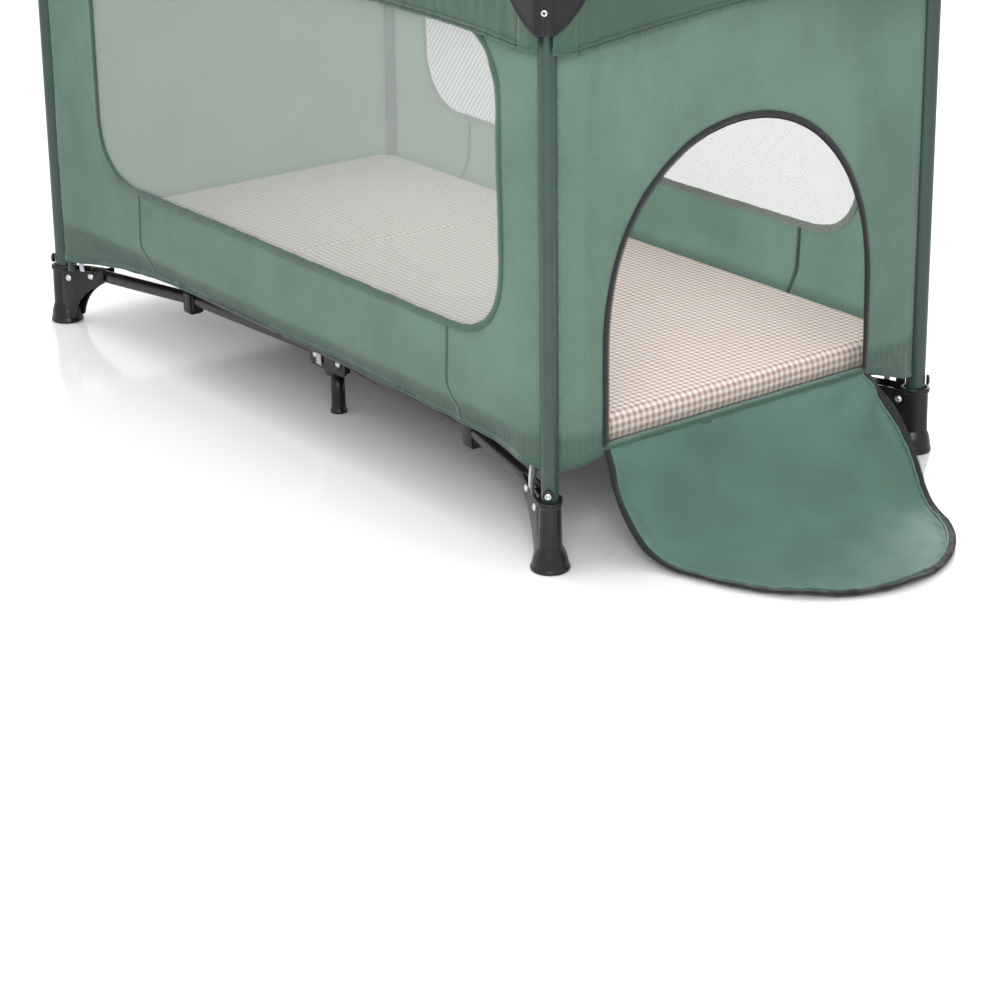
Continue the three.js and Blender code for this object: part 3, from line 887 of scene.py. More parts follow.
def cap_pieces(corner):
    body = f"leg_{corner}"
    shell = corner_piece("cap_shell", cap_skin(), black_plastic, corner, None)
    add_modifier(shell, "SOLIDIFY", thickness=0.0028, offset=-1.0)
    applied(shell)
    finish_piece(shell, body, [f"corner_cap_{corner}"])
    corner_piece("cap_core", cap_core(), black_plastic, corner, body, slot="black_plastic")
    pins = merged(
        rod((PIVOT_IN, -0.0148, RAIL_Z), (PIVOT_IN, 0.0148, RAIL_Z), 0.003),
        rod((-0.0148, PIVOT_IN, RAIL_Z), (0.0148, PIVOT_IN, RAIL_Z), 0.003),
    )
    corner_piece("cap_pins", pins, steel, corner, body, slot="steel")


def foot_pieces(corner):
    sx, sy = CORNERS[corner]
    body = f"leg_{corner}"
    corner_piece("post_tube", post_shape(), post_paint, corner, body, slot="frame_paint",
                 stands_for=[f"post_{corner}"])
    corner_piece("foot_moulding", foot_shape(), black_plastic, corner, body, slot="black_plastic",
                 stands_for=[f"foot_{corner}"])
    pin = rod((PIVOT_IN, BASE_PIVOT_Y - 0.0155, BASE_Z), (PIVOT_IN, BASE_PIVOT_Y + 0.0155, BASE_Z), 0.003)
    corner_piece("foot_axle", pin, steel, corner, body, slot="steel", stands_for=[f"foot_pin_{corner}"])
    boss = turned_profile([(0.0070, -0.001), (0.0070, 0.0024), (0.0064, 0.0031), (0.0046, 0.0033)])
    up = np.array([0, 0, 1.0])
    out = np.array([-DIAGONAL, -DIAGONAL, 0])
    side = np.cross(up, out)
    frame_of = np.array([side, up, out])
    points = boss[0] @ frame_of + out * 0.0152 + up * 0.100
    corner_piece("post_boss", (points, boss[1]), black_plastic, corner, body, slot="black_plastic")
    flip = np.array([-sx, -sy, 1])
    across = np.array([-math.sin(FORK_TURN), math.cos(FORK_TURN), 0])
    reach = np.array([math.cos(FORK_TURN), math.sin(FORK_TURN), 0])
    plate = FORK_GAP + 0.0035
    spots = []
    for distance, height in ((0.0604, BASE_Z), (0.0180, 0.074)):
        for way in (-1, 1):
            spots.append((reach * distance + across * way * (plate + 0.0004) + up * height, across * way))
    places = at_corner([p for p, _ in spots], corner)
    facing = np.array([f for _, f in spots]) * flip
    repeated(f"foot_rivets_{corner}", rivet_head, places, facing, (0, 0, 1), steel, body)
    cap_screw = out * (CAP_FACE * 2 - CAP_FACET) * DIAGONAL + up * 0.6835
    screws = at_corner([out * 0.0184 + up * 0.100, cap_screw], corner)
    repeated(f"post_screws_{corner}", screw_head, screws, out * flip, (0, 0, 1), steel, body)


for corner in CORNERS:
    cap_pieces(corner)
    foot_pieces(corner)

# %% [markdown]
# ## The folding base
# Each base tube is pressed flat at both ends, where it is pinned to a foot and to the hub, and bent
# once under a moulded clip. The hub is a channel over a short support leg.

# %% Base tubes, clips, hubs and support legs
HUB_PIVOT, HUB_Y = 0.028, 0.210
BEND_X, BEND_Y = 0.255, 0.078
TUBE_R = 0.0095


def base_tube_stations():
    flat, round_ = (0.005, 0.0100), (TUBE_R, TUBE_R)
    end_x, end_y = LEG_X - HUB_PIVOT, LEG_Y - HUB_Y
    keys = [
        (PIVOT_IN - 0.0085, BASE_PIVOT_Y - 0.0025, flat), (PIVOT_IN + 0.018, BASE_PIVOT_Y + 0.005, flat),
        (PIVOT_IN + 0.038, BASE_PIVOT_Y + 0.010, round_), (BEND_X - 0.016, BEND_Y - 0.005, round_),
        (BEND_X, BEND_Y - 0.0008, round_), (BEND_X + 0.016, BEND_Y + 0.0015, round_),
        (end_x - 0.036, end_y - 0.0022, round_), (end_x - 0.016, end_y - 0.001, flat),
        (end_x + 0.0085, end_y, flat),
    ]
    xs = [k[0] for k in keys]
    x = np.concatenate([np.linspace(a, b, 8, endpoint=False) for a, b in zip(xs, xs[1:])] + [[xs[-1]]])
    y = np.interp(x, xs, [k[1] for k in keys])
    wide = np.interp(x, xs, [k[2][0] for k in keys])
    tall = np.interp(x, xs, [k[2][1] for k in keys])
    return x, y, wide, tall


def base_tube_shape():
    x, y, wide, tall = base_tube_stations()
    c, s = circle(28)
    shrink = np.ones(len(x))
    shrink[[0, -1]] = 0.9
    return skin([
        np.column_stack([np.full(28, x[i]), y[i] + wide[i] * shrink[i] * c, BASE_Z + tall[i] * shrink[i] * s])
        for i in range(len(x))
    ])


def clip_shape():
    outline = round_corners(
        [(BEND_Y - 0.0130, BASE_Z - 0.0215), (BEND_Y + 0.0120, BASE_Z - 0.0215),
         (BEND_Y + 0.0125, BASE_Z + 0.0130), (BEND_Y - 0.0130, BASE_Z + 0.0130)], 0.0065, 7
    )
    body = rounded_plate(outline, BEND_X - 0.0095, BEND_X + 0.0095, 0, 0.0016)
    smaller = outline * 0.78 + np.array([BEND_Y, BASE_Z]) * 0.22 + (0, 0.0006)
    collars = [rounded_plate(smaller, a, a + 0.005, 0, 0.0008) for a in (BEND_X - 0.0140, BEND_X + 0.0090)]
    return merged(body, *collars)


def hub_shape():
    z = BASE_Z
    cheek = round_corners([(-0.044, z - 0.017), (0.044, z - 0.017), (0.044, z + 0.018), (-0.044, z + 0.018)],
                          0.010, 7)
    plates = [rounded_plate(cheek, low, low + 0.004, 1, 0.0010) for low in (-0.017, 0.013)]
    bridge = block(-0.036, 0.036, -0.0150, 0.0150, z + 0.0135, z + 0.0185, 0.003)
    core = block(-0.011, 0.011, -0.0150, 0.0150, z - 0.025, z + 0.015, 0.003)
    lip = [rounded_plate(cheek * (0.8, 0.55) + (0, z * 0.45 + 0.0002), low, low + 0.0012, 1, 0.0005)
           for low in (-0.0180, 0.0168)]
    return merged(*plates, bridge, core, *lip)


def support_leg_shape():
    z = BASE_Z
    return turned_profile([(0.0110, 0.0000), (0.0119, 0.0008), (0.0120, 0.0036), (0.0112, 0.0052),
                           (0.0104, 0.0085), (0.0100, 0.0120), (0.0098, 0.0300), (0.0097, z - 0.0262),
                           (0.0080, z - 0.0260)], 36)


for corner in CORNERS:
    body = f"tube_{corner}"
    corner_piece("tube_steel", base_tube_shape(), tube_paint, corner, body, slot="grey_tube",
                 stands_for=[f"base_tube_{corner}"])
    corner_piece("bend_clip", clip_shape(), black_plastic, corner, body, slot="black_plastic",
                 stands_for=[f"tube_clip_{corner}"])

for side, sy in (("front", -1), ("back", 1)):
    body, place = f"hub_{side}", (0, sy * HUB_Y, 0)
    make_piece(f"hub_channel_{side}", *moved(hub_shape(), place), black_plastic, body,
               slot="black_plastic", stands_for=[f"base_hub_{side}"])
    make_piece(f"hub_leg_{side}", *moved(support_leg_shape(), place), black_plastic, body,
               slot="black_plastic", stands_for=[f"support_leg_{side}"])
    pins = merged(*[rod((x, sy * HUB_Y - 0.0165, BASE_Z), (x, sy * HUB_Y + 0.0165, BASE_Z), 0.003)
                    for x in (-HUB_PIVOT, HUB_PIVOT)])
    make_piece(f"hub_axles_{side}", *pins, steel, body, slot="steel")
    spots = [(x, sy * HUB_Y + way * 0.0180, BASE_Z) for x in (-HUB_PIVOT, HUB_PIVOT) for way in (-1, 1)]
    facing = [(0, way, 0) for x in (0, 1) for way in (-1, 1)]
    repeated(f"hub_rivets_{side}", rivet_head, spots, facing, (1, 0, 0), steel, body)

# %% [markdown]
# ## Top rails and their locks
# These are hidden in the padded sleeves, and show only when the cot is folded: eight half rails, and
# in the middle of each side a lock housing with its red button below.

# %% Rails, lock housings and buttons


def along_y(shape):
    """From a shape drawn along X to the same shape along Y."""
    points = np.asarray(shape[0], float)[:, (1, 0, 2)]
    return points, flipped(shape[1])


def half_rail(start, end):
    x = np.array([start, start + 0.0006, *np.linspace(start + 0.02, end - 0.02, 8), end - 0.0006, end])
    c, s = circle(28)
    size = np.full(len(x), RAIL_R)
    size[[0, -1]] -= 0.0008
    return skin([np.column_stack([np.full(28, a), r * c, RAIL_Z + r * s]) for a, r in zip(x, size)])


def housing_shape():
    z = RAIL_Z
    cheek = round_corners([(-0.042, z - 0.014), (0.042, z - 0.014), (0.042, z + 0.014), (-0.042, z + 0.014)],
                          0.011, 7)
    plates = [rounded_plate(cheek, low, low + 0.004, 1, 0.0010) for low in (-0.016, 0.012)]
    bridge = block(-0.015, 0.015, -0.014, 0.014, z + 0.0125, z + 0.017, 0.003)
    return merged(*plates, bridge)


def button_shape():
    outline = round_corners([(-0.0095, RAIL_Z - 0.022), (0.0095, RAIL_Z - 0.022),
                             (0.0095, RAIL_Z - 0.008), (-0.0095, RAIL_Z - 0.008)], 0.0035, 5)
    return rounded_plate(outline, -0.011, 0.011, 1, 0.0012)


for side, (along_x, place) in {"front": (True, (0, -LEG_Y, 0)), "back": (True, (0, LEG_Y, 0)),
                               "left": (False, (-LEG_X, 0, 0)), "right": (False, (LEG_X, 0, 0))}.items():
    half = LEG_X if along_x else LEG_Y
    ends = ("left", "right") if along_x else ("front", "back")
    lay = (lambda shape: shape) if along_x else along_y
    for end, sign in zip(ends, (-1, 1)):
        a, b = sorted((sign * (HUB_PIVOT - 0.010), sign * (half - PIVOT_IN + 0.010)))
        make_piece(f"rail_tube_{side}_{end}", *moved(lay(half_rail(a, b)), place), steel,
                   f"rail_{side}_{end}", slot="steel", stands_for=[f"top_rail_{side}_{end}"])
    pins = merged(*[rod((x, -0.015, RAIL_Z), (x, 0.015, RAIL_Z), 0.003) for x in (-HUB_PIVOT, HUB_PIVOT)])
    make_piece(f"lock_case_{side}", *moved(lay(housing_shape()), place), black_plastic,
               f"housing_{side}", slot="black_plastic", stands_for=[f"lock_housing_{side}"])
    make_piece(f"lock_axles_{side}", *moved(lay(pins), place), steel, f"housing_{side}", slot="steel")
    make_piece(f"lock_press_{side}", *moved(lay(button_shape()), place), red_plastic,
               f"button_{side}", slot="red_plastic", stands_for=[f"lock_button_{side}"])

# %% [markdown]
# ## Cut cloth
# A wall is cut flat, like a pattern piece: an outline, perhaps a hole, and a filling of small
# triangles. It is then hung in place by a function from the flat (u, z) to a point of the room, and
# the hems, bindings and seams follow the same function, so they always lie on the cloth.

# %% Flat cutting and hanging


def refined(path, step, closed=True):
    """A polyline with points about one step apart."""
    path = np.asarray(path, float)
    if closed:
        path = np.concatenate([path, path[:1]])
    gaps = np.linalg.norm(np.diff(path, axis=0), axis=1)
    keep = np.concatenate([[True], gaps > 1e-7])
    path, s = path[keep], np.concatenate([[0], np.cumsum(gaps)])[keep]
    count = max(2, int(round(s[-1] / step)))
    t = np.linspace(0, s[-1], count + 1)
    fine = np.column_stack([np.interp(t, s, path[:, i]) for i in range(path.shape[1])])
    return fine[:-1] if closed else fine


def inside(points, outline):
    x, y = points[:, 0], points[:, 1]
    odd = np.zeros(len(points), bool)
    for (x0, y0), (x1, y1) in zip(outline, np.roll(outline, -1, 0)):
        crosses = (y0 > y) != (y1 > y)
        with np.errstate(divide="ignore", invalid="ignore"):
            odd ^= crosses & (x < (x1 - x0) * (y - y0) / (y1 - y0) + x0)
    return odd


def clearance(points, outline):
    return np.min(np.linalg.norm(points[:, None] - outline[None], axis=2), axis=1)


def filled_flat(edges, step):
    """Triangles inside the first edge and outside the others. The edges' own points come first."""
    low, high = edges[0].min(0), edges[0].max(0)
    u = np.arange(low[0] + step / 2, high[0], step)
    v = np.arange(low[1] + step / 2, high[1], step * 0.866)
    grid = np.stack(np.meshgrid(u, v), -1)
    grid[1::2, :, 0] += step / 2
    grid = grid.reshape(-1, 2)
    grid = grid[inside(grid, edges[0])]
    for hole in edges[1:]:
        grid = grid[~inside(grid, hole)]
    rings, start = [], 0
    for edge in edges:
        near = np.concatenate([clearance(part, edge) for part in np.array_split(grid, 40)])
        grid = grid[near > step * 0.55]
        rings += [(start + i, start + (i + 1) % len(edge)) for i in range(len(edge))]
        start += len(edge)
    points = [Vector(p) for p in np.concatenate([*edges, grid])]
    found = geometry.delaunay_2d_cdt(points, rings, [], 0, 1e-6)
    flat = np.array([tuple(p) for p in found[0]])
    faces = np.array([face for face in found[2] if len(face) == 3])
    centres = flat[faces].mean(1)
    keep = inside(centres, edges[0])
    for hole in edges[1:]:
        keep &= ~inside(centres, hole)
    return flat, [tuple(int(i) for i in face) for face in faces[keep]]


def flat_cloth(outline, holes=(), step=0.007):
    """Triangles that fill an outline and leave its holes open."""
    return filled_flat([refined(edge, step) for edge in (outline, *holes)], step)


def soft(u, v, size, seed, octaves=3):
    """Smooth random values, about -1 to 1, over arrays of positions."""
    return np.array([
        noise.fractal(Vector((a / size, b / size, seed)), 1.0, 2.0, octaves)
        for a, b in zip(np.ravel(u), np.ravel(v))
    ]).reshape(np.shape(u)) * 1.3


def rounded_box(u0, v0, u1, v1, radius):
    return round_corners([(u0, v0), (u1, v0), (u1, v1), (u0, v1)], radius * 1.17, 14)


POST_GRIP = 0.0095
WALL_TOP, WINDOW_TOP, NET_MARGIN = 0.705, 0.653, 0.008
WALLS = {
    "front": dict(half=LEG_X, out=(0, -1), seed=3.1, posts=("fl", "fr"), body="leg_fl",
                  window=(-0.434, 0.532), sill=0.271, seams=(-0.329, 0.422)),
    "back": dict(half=LEG_X, out=(0, 1), seed=7.7, posts=("bl", "br"), body="leg_bl",
                 window=(-0.529, 0.472), sill=0.259, seams=(-0.414, 0.355)),
    "left": dict(half=LEG_Y, out=(-1, 0), seed=12.3, posts=("fl", "bl"), body="leg_fl", window=None),
    "right": dict(half=LEG_Y, out=(1, 0), seed=19.9, posts=("fr", "br"), body="leg_fr", window=None),
}


def hang(side, u, z, lift=0.0):
    """Where a point of a wall hangs. u runs along the wall from the cot's middle, and lift is how far
    outside the cloth the point is."""
    wall = WALLS[side]
    u, z = np.asarray(u, float), np.asarray(z, float)
    end = wall["half"] - np.abs(u)
    out = 0.0155 * np.clip((end - POST_GRIP) / 0.030, 0, 1) + 0.001
    free = smooth_step(end, 0.012, 0.06)
    seed = wall["seed"]
    slack = soft(u, z * 0.7, 0.16, seed, 2) * 0.0016
    pull = soft(u * 2.6, z * 0.5, 0.11, seed + 40, 3) * 0.0011
    low = smooth_step(z, 0.26, 0.13)
    ripple = soft(u * 1.6, z * 0.35, 0.05, seed + 80, 2) * 0.0012 * low
    gather = np.sin(u * 210 + soft(u, z, 0.05, seed + 9, 2) * 2.5) * 0.0006
    gather *= np.exp(-((z - 0.60) / 0.05) ** 2) + np.exp(-(end / 0.07) ** 2)
    depth = out + free * (slack + pull + ripple) + gather * free + lift
    if wall["window"]:
        depth = depth - 0.0205 * smooth_step(z, 0.195, 0.140) * smooth_step(end, 0.02, 0.12)
    x, y = wall["out"]
    base = LEG_Y if x == 0 else LEG_X
    flat = np.zeros(np.shape(u) + (3,))
    flat[..., 0] = u if x == 0 else x * (base + depth)
    flat[..., 1] = u if y == 0 else y * (base + depth)
    flat[..., 2] = z
    return flat


def on_wall(side, path, width, thick, closed=False, lift=0.0, uneven=0.0):
    """A tape sewn along a path of (u, z) on a wall."""
    path = np.asarray(path, float)
    here = hang(side, path[:, 0], path[:, 1], lift)
    ahead = np.roll(here, -1, 0) - np.roll(here, 1, 0)
    if not closed:
        ahead[0], ahead[-1] = here[1] - here[0], here[-1] - here[-2]
    ahead = unit(ahead)
    nearby = 0.004
    u, z = path[:, 0], path[:, 1]
    slope_u = hang(side, u + nearby, z, lift) - hang(side, u - nearby, z, lift)
    slope_z = hang(side, u, z + nearby, lift) - hang(side, u, z - nearby, lift)
    face = np.cross(slope_u, slope_z)
    outward = np.array([*WALLS[side]["out"], 0.0])
    face *= np.sign(face @ outward)[:, None]
    face = unit(face)
    across = np.cross(face, ahead)
    across = unit(across)
    widths = np.full(len(path), width)
    if uneven:
        widths = widths * (1 + uneven * soft(path[:, 0], path[:, 1], 0.012, 5.5, 2))
    return strip(here, across, face, widths, thick, closed)


def doorway(inset=0.0, step=0.006):
    """The door's outline in (u, z) on the right wall, from the sill's front corner over the top."""
    middle_y, half, sill, spring, top = -0.0205, 0.2215, 0.144, 0.268, 0.5205
    half, top = half - inset, top - inset
    turn = np.linspace(math.pi, 0, 48)
    arch = [(middle_y + half * np.sign(math.cos(t)) * abs(math.cos(t)) ** 0.95,
             spring + (top - spring) * math.sin(t) ** 0.97 if math.sin(t) > 1e-9 else spring) for t in turn]
    path = [(middle_y - half, sill), *arch, (middle_y + half, sill)]
    return refined(path, step, closed=False)


HEM_LONG = [
    (-0.605, 0.105), (-0.575, 0.107), (-0.535, 0.110), (-0.48, 0.117), (-0.426, 0.125), (-0.322, 0.1345),
    (-0.208, 0.141), (-0.10, 0.138), (0, 0.140), (0.161, 0.1435), (0.32, 0.1385), (0.42, 0.1335),
    (0.50, 0.131), (0.54, 0.132), (0.575, 0.131), (0.605, 0.121),
]
HEM_SHORT = [
    (-0.306, 0.121), (-0.276, 0.128), (-0.246, 0.135), (-0.1, 0.136), (0.12, 0.136), (0.206, 0.136),
    (0.236, 0.127), (0.271, 0.115), (0.306, 0.106),
]


def hem_height(side, u):
    """The lower edge of a wall, rounded off between its marks."""
    u = np.asarray(u, float)
    at, z = zip(*(HEM_LONG if WALLS[side]["half"] == LEG_X else HEM_SHORT))
    return np.mean([np.interp(u + d, at, z) for d in np.linspace(-0.012, 0.012, 7)], axis=0)


def wall_trim(name, side, shape, material, slot):
    obj = make_piece(name, *shape, material, WALLS[side]["body"], slot=slot)
    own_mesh(obj)
    return obj


# %% [markdown]
# ## The walls and windows
# Front and back have a long net window with rounded corners. The right wall has the arched doorway.

# %% Hang the walls
for side, wall in WALLS.items():
    end = wall["half"] - POST_GRIP
    u = np.linspace(-end, end, 120)
    hem = np.column_stack([u, hem_height(side, u)])
    outline = [*hem, (end, WALL_TOP), (-end, WALL_TOP)]
    holes, extra = [], []
    if wall["window"]:
        holes.append(rounded_box(wall["window"][0], wall["sill"], wall["window"][1], WINDOW_TOP, 0.085))
    if side == "right":
        arch = doorway()
        sill = refined([arch[-1], arch[0]], 0.006, closed=False)[1:-1]
        holes.append(np.concatenate([arch, sill]))
    flat, faces = flat_cloth(outline, holes, 0.0075 if wall["window"] else 0.0065)
    obj = make_piece(f"cloth_{side}", hang(side, flat[:, 0], flat[:, 1]), faces, wall_cloth)
    add_modifier(obj, "SOLIDIFY", thickness=0.0011, offset=0.0)
    applied(obj)
    finish_piece(obj, WALLS[side]["body"], [f"wall_{side}"])
    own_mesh(obj)
    hem_u = np.linspace(-end, end, int(end * 2 / 0.005))
    path = np.column_stack([hem_u, hem_height(side, hem_u) + 0.0045])
    wall_trim(f"hem_{side}", side, on_wall(side, path, 0.0090, 0.0016, uneven=0.10), hem_cloth, "green_cloth")
    edge_path = np.column_stack([hem_u, hem_height(side, hem_u) + 0.0004])
    bead = hang(side, edge_path[:, 0], edge_path[:, 1])
    wall_trim(f"hem_roll_{side}", side, tube(bead, 0.0017, 10), binding_tape, "dark_green_cloth")
    if wall["window"]:
        lo, hi = wall["window"]
        sill, m = wall["sill"], NET_MARGIN
        flat, faces = flat_cloth(rounded_box(lo - m, sill - m, hi + m, WINDOW_TOP + m, 0.085 + m), (), 0.009)
        net = make_piece(f"net_{side}", hang(side, flat[:, 0], flat[:, 1], -0.0022), faces, window_net)
        finish_piece(net, WALLS[side]["body"], [f"mesh_window_{side}"])
        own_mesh(net)
        m = 0.0025
        path = refined(rounded_box(lo - m, sill - m, hi + m, WINDOW_TOP + m, 0.085 + m), 0.005)
        wall_trim(f"window_binding_{side}", side, on_wall(side, path, 0.0100, 0.0034, True, uneven=0.12),
                  binding_tape, "dark_green_cloth")
        for number, at in enumerate(wall["seams"]):
            z = np.linspace(float(hem_height(side, at)) + 0.002, sill - 0.003, 26)
            path = np.column_stack([np.full(26, at) + 0.002 * np.sin(z * 30), z])
            wall_trim(f"seam_tape_{side}_{number}", side, on_wall(side, path, 0.0078, 0.0026, uneven=0.12),
                      binding_tape, "dark_green_cloth")

# %% [markdown]
# The doorway is edged by half of the zip: a black tape with a row of teeth on its inner side.

# %% Zip track
arch = doorway(0.0035)
wall_trim("zip_tape_door", "right", on_wall("right", arch, 0.0082, 0.0026), zip_tape, "zip_tape")
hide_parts("door_zip_track")
TOOTH_PITCH = 0.0024
tooth_block = block(-0.0006, 0.0006, -0.0014, 0.0014, -0.0010, 0.0010, 0.0003, 0.0003)
tooth = sample_of("tooth sample", tooth_block, smooth=False)


def zip_teeth(name, path, face, body):
    gaps = np.linalg.norm(np.diff(path, axis=0), axis=1)
    s = np.concatenate([[0], np.cumsum(gaps)])
    t = np.arange(0.004, s[-1] - 0.004, TOOTH_PITCH)
    places = np.column_stack([np.interp(t, s, path[:, i]) for i in range(3)])
    facing = np.column_stack([np.interp(t, s, face[:, i]) for i in range(3)])
    ahead = np.gradient(places, axis=0)
    return repeated(name, tooth, places, facing, ahead, zip_teeth_plastic, body)


n = 60
ledge = hang("right", np.linspace(-0.245, 0.204, n), np.full(n, 0.1445))
inboard = np.column_stack([np.full(n, 0.5900), ledge[:, 1], np.full(n, 0.1335)])
middle_row = ledge * 0.5 + inboard * 0.5 + (0, 0, 0.0012)
sill_faces = [(i, i + 1, i + n + 1, i + n) for r in (0, n) for i in range(r, r + n - 1)]
ledge_piece = make_piece("door_ledge", np.concatenate([ledge, middle_row, inboard]), sill_faces, flap_cloth)
add_modifier(ledge_piece, "SOLIDIFY", thickness=0.0012, offset=0.0)
applied(ledge_piece)
finish_piece(ledge_piece, "leg_fr")
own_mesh(ledge_piece)
inner = doorway(0.0078)
teeth_path = hang("right", inner[:, 0], inner[:, 1], 0.0004)
teeth = zip_teeth("zip_teeth_door", teeth_path, np.tile([1.0, 0, 0], (len(teeth_path), 1)), "leg_fr")
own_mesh(teeth)

# %% [markdown]
# ## Padded sleeves over the top rails
# Each sleeve is an upside-down U of quilted cloth over its rail. Its lower edge rises a little towards
# the middle of the side, and ends in a rolled double piping. Each half of a sleeve stays with its own
# half rail when the cot folds.

# %% Sleeves
SLEEVE_OUT, SLEEVE_TOP = 0.0212, 0.7590


def sleeve_low(along_x, share):
    """Lower edge of a sleeve. share is 0 at the middle of the side and 1 at its ends."""
    corner, rise, power = (0.6385, 0.0090, 6) if along_x else (0.6335, 0.0265, 1.25)
    return corner + rise * (1 - np.abs(share) ** power)


def sleeve_section(low, swell, out_low):
    """The outer line of the U from the outer face's lower edge over the top to the inner face's."""
    top, half = SLEEVE_TOP, SLEEVE_OUT
    z_face = np.linspace(0, 1, 12)
    face_z = low + (top - 0.0125 - low) * z_face
    bulge = swell * np.sin(math.pi * np.clip(z_face * 0.97 + 0.03, 0, 1)) ** 0.8
    outer = np.column_stack([-(half + bulge + out_low * (1 - z_face) ** 2), face_z])
    turn = np.radians([15, 32, 50, 70, 90, 110, 130, 148, 165])
    over = np.column_stack([-half * np.cos(turn), top - 0.0125 + 0.0125 * np.sin(turn)])
    inner = np.column_stack([half + bulge * 0.7, face_z])[::-1]
    return np.concatenate([outer, over, inner])


def sleeve_half(along_x, sign, seed):
    half = (LEG_X if along_x else LEG_Y) - 0.0235
    u = np.linspace(0.0, half, int(half / 0.0045)) * sign
    rings, edge = [], []
    puckers = soft(u * 3.2, u * 0, 0.03, seed, 3)
    near_end = np.exp(-((half - np.abs(u)) / 0.05) ** 2)
    for at, pucker, ends in zip(u, puckers, near_end):
        low = float(sleeve_low(along_x, at / half)) + 0.0009 * pucker * (1 + ends)
        swell = 0.0022 + 0.0010 * pucker - 0.0006 * ends
        line = sleeve_section(low, swell, 0.0016 + 0.0012 * ends)
        height = (line[:, 1] - low) / (SLEEVE_TOP - low)
        face = np.sign(line[:, 0])
        ripple = soft(np.full(len(line), at * 2.4), line[:, 1] * 0.8 + face, 0.035, seed + 5, 3)
        line[:, 0] += face * 0.0013 * ripple * (0.3 + 0.7 * (1 - height))
        thick = 0.0030
        inward = np.column_stack([-face * thick, np.zeros(len(line))])
        top_zone = np.clip((line[:, 1] - (SLEEVE_TOP - 0.0125)) / 0.0125, 0, 1)
        inward[:, 0] *= 1 - top_zone * 0.75
        inward[:, 1] = -thick * np.sqrt(top_zone)
        ring = np.concatenate([line, (line + inward)[::-1]])
        rings.append(np.column_stack([np.full(len(ring), at), ring]))
        edge.append((at, line[0, 0] + 0.0012, low - 0.0002))
    points, faces = skin(rings if sign > 0 else rings[::-1])
    return (points, flipped(faces)), np.array(edge)


PLACES = {"front": (0, -LEG_Y, 0), "back": (0, LEG_Y, 0), "left": (-LEG_X, 0, 0), "right": (LEG_X, 0, 0)}


def sleeve_frame(side, points):
    """From a sleeve's own axes, along, outward and up, to the cot's."""
    points = np.asarray(points, float)
    a, o, z = points[:, 0], -points[:, 1], points[:, 2]
    out = WALLS[side]["out"]
    if out[0] == 0:
        flat = np.column_stack([a, out[1] * o, z])
    else:
        flat = np.column_stack([out[0] * o, a, z])
    return flat + PLACES[side]


for number, side in enumerate(("front", "back", "left", "right")):
    along_x = side in ("front", "back")
    ends = ("left", "right") if along_x else ("front", "back")
    for sign, end in zip((-1, 1), ends):
        (points, faces), edge = sleeve_half(along_x, sign, 31.0 + number * 7)
        placed = sleeve_frame(side, points)
        if side in ("back", "right"):
            faces = flipped(faces)
        body = f"rail_{side}_{end}"
        stands = [f"rail_sleeve_{side}"] if sign > 0 else []
        obj = make_piece(f"sleeve_{side}_{end}", placed, faces, sleeve_cloth_painted_shade, body,
                         slot="dark_green_cloth", stands_for=stands)
        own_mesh(obj)
        for row, (drop, radius) in enumerate(((0.0, 0.0021), (0.0047, 0.0017))):
            line = edge + (0, -0.0011 if row == 0 else -0.0019, drop)
            wobble = soft(edge[:, 0] * 4, edge[:, 0] * 0 + row, 0.02, 2.2 + number, 2)
            line[:, 2] += wobble * 0.0005
            pipe = make_piece(f"piping_{side}_{end}_{row}", *tube(sleeve_frame(side, line), radius, 12),
                              binding_tape, body, slot="dark_green_cloth")
            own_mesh(pipe)

# %% [markdown]
# Past its rail, a sleeve runs on a little as a plain tail under the corner cap, and its piping with
# it, up to the leg. The tails stay on the leg when the rails fold.

# %% Sleeve tails
for corner, (sx, sy) in CORNERS.items():
    for along_x in (True, False):
        side = ("front" if sy < 0 else "back") if along_x else ("left" if sx < 0 else "right")
        body, low = f"leg_{corner}", float(sleeve_low(along_x, 1.0))
        a = np.linspace(-0.0065, 0.0233, 12)
        near = smooth_step(a, 0.006, -0.0065)
        rings = []
        for at, n in zip(a, near):
            share = np.linspace(0, 0.48, 8)
            bulge = 0.0016 * np.sin(math.pi * (share * 0.97 + 0.03)) ** 0.8
            face = SLEEVE_OUT + bulge + 0.0028 * (1 - share) ** 2
            height = low + (SLEEVE_TOP - 0.0125 - low) * share
            outer = np.column_stack([np.full(8, at), -face + 0.0030 * n, height])
            rings.append(np.concatenate([outer, (outer + (0, 0.0026, 0))[::-1]]))
        points, faces = skin(rings)
        lines = []
        for drop, radius in ((0.0, 0.0020), (0.0044, 0.0016)):
            line = np.column_stack([a, -0.0238 + 0.0040 * near, low + drop + 0.008 * near**2])
            lines.append(tube(line, radius, 12))
        for label, shape, finish in (("sleeve_tail", (points, faces), sleeve_cloth_painted_shade),
                                     ("piping_tail", merged(*lines), binding_tape)):
            flat = np.asarray(shape[0], float)
            if not along_x:
                flat = flat[:, (1, 0, 2)]
            swapped = shape[1] if along_x else flipped(shape[1])
            corner_piece(f"{label}_{side}", (flat, swapped), finish, corner, body, slot="dark_green_cloth")

# %% [markdown]
# ## The mattress
# A thin pad in one gingham cover. Its top is slightly crowned, with one faint crease across the cot,
# and its edges are soft and rounded.

# %% Mattress
MAT_X, MAT_Y, MAT_LOW, MAT_HIGH, MAT_CORNER = 0.5965, 0.2945, 0.1312, 0.1700, 0.034
CREASE_X = -0.185
EDGE_ROLL = 0.013


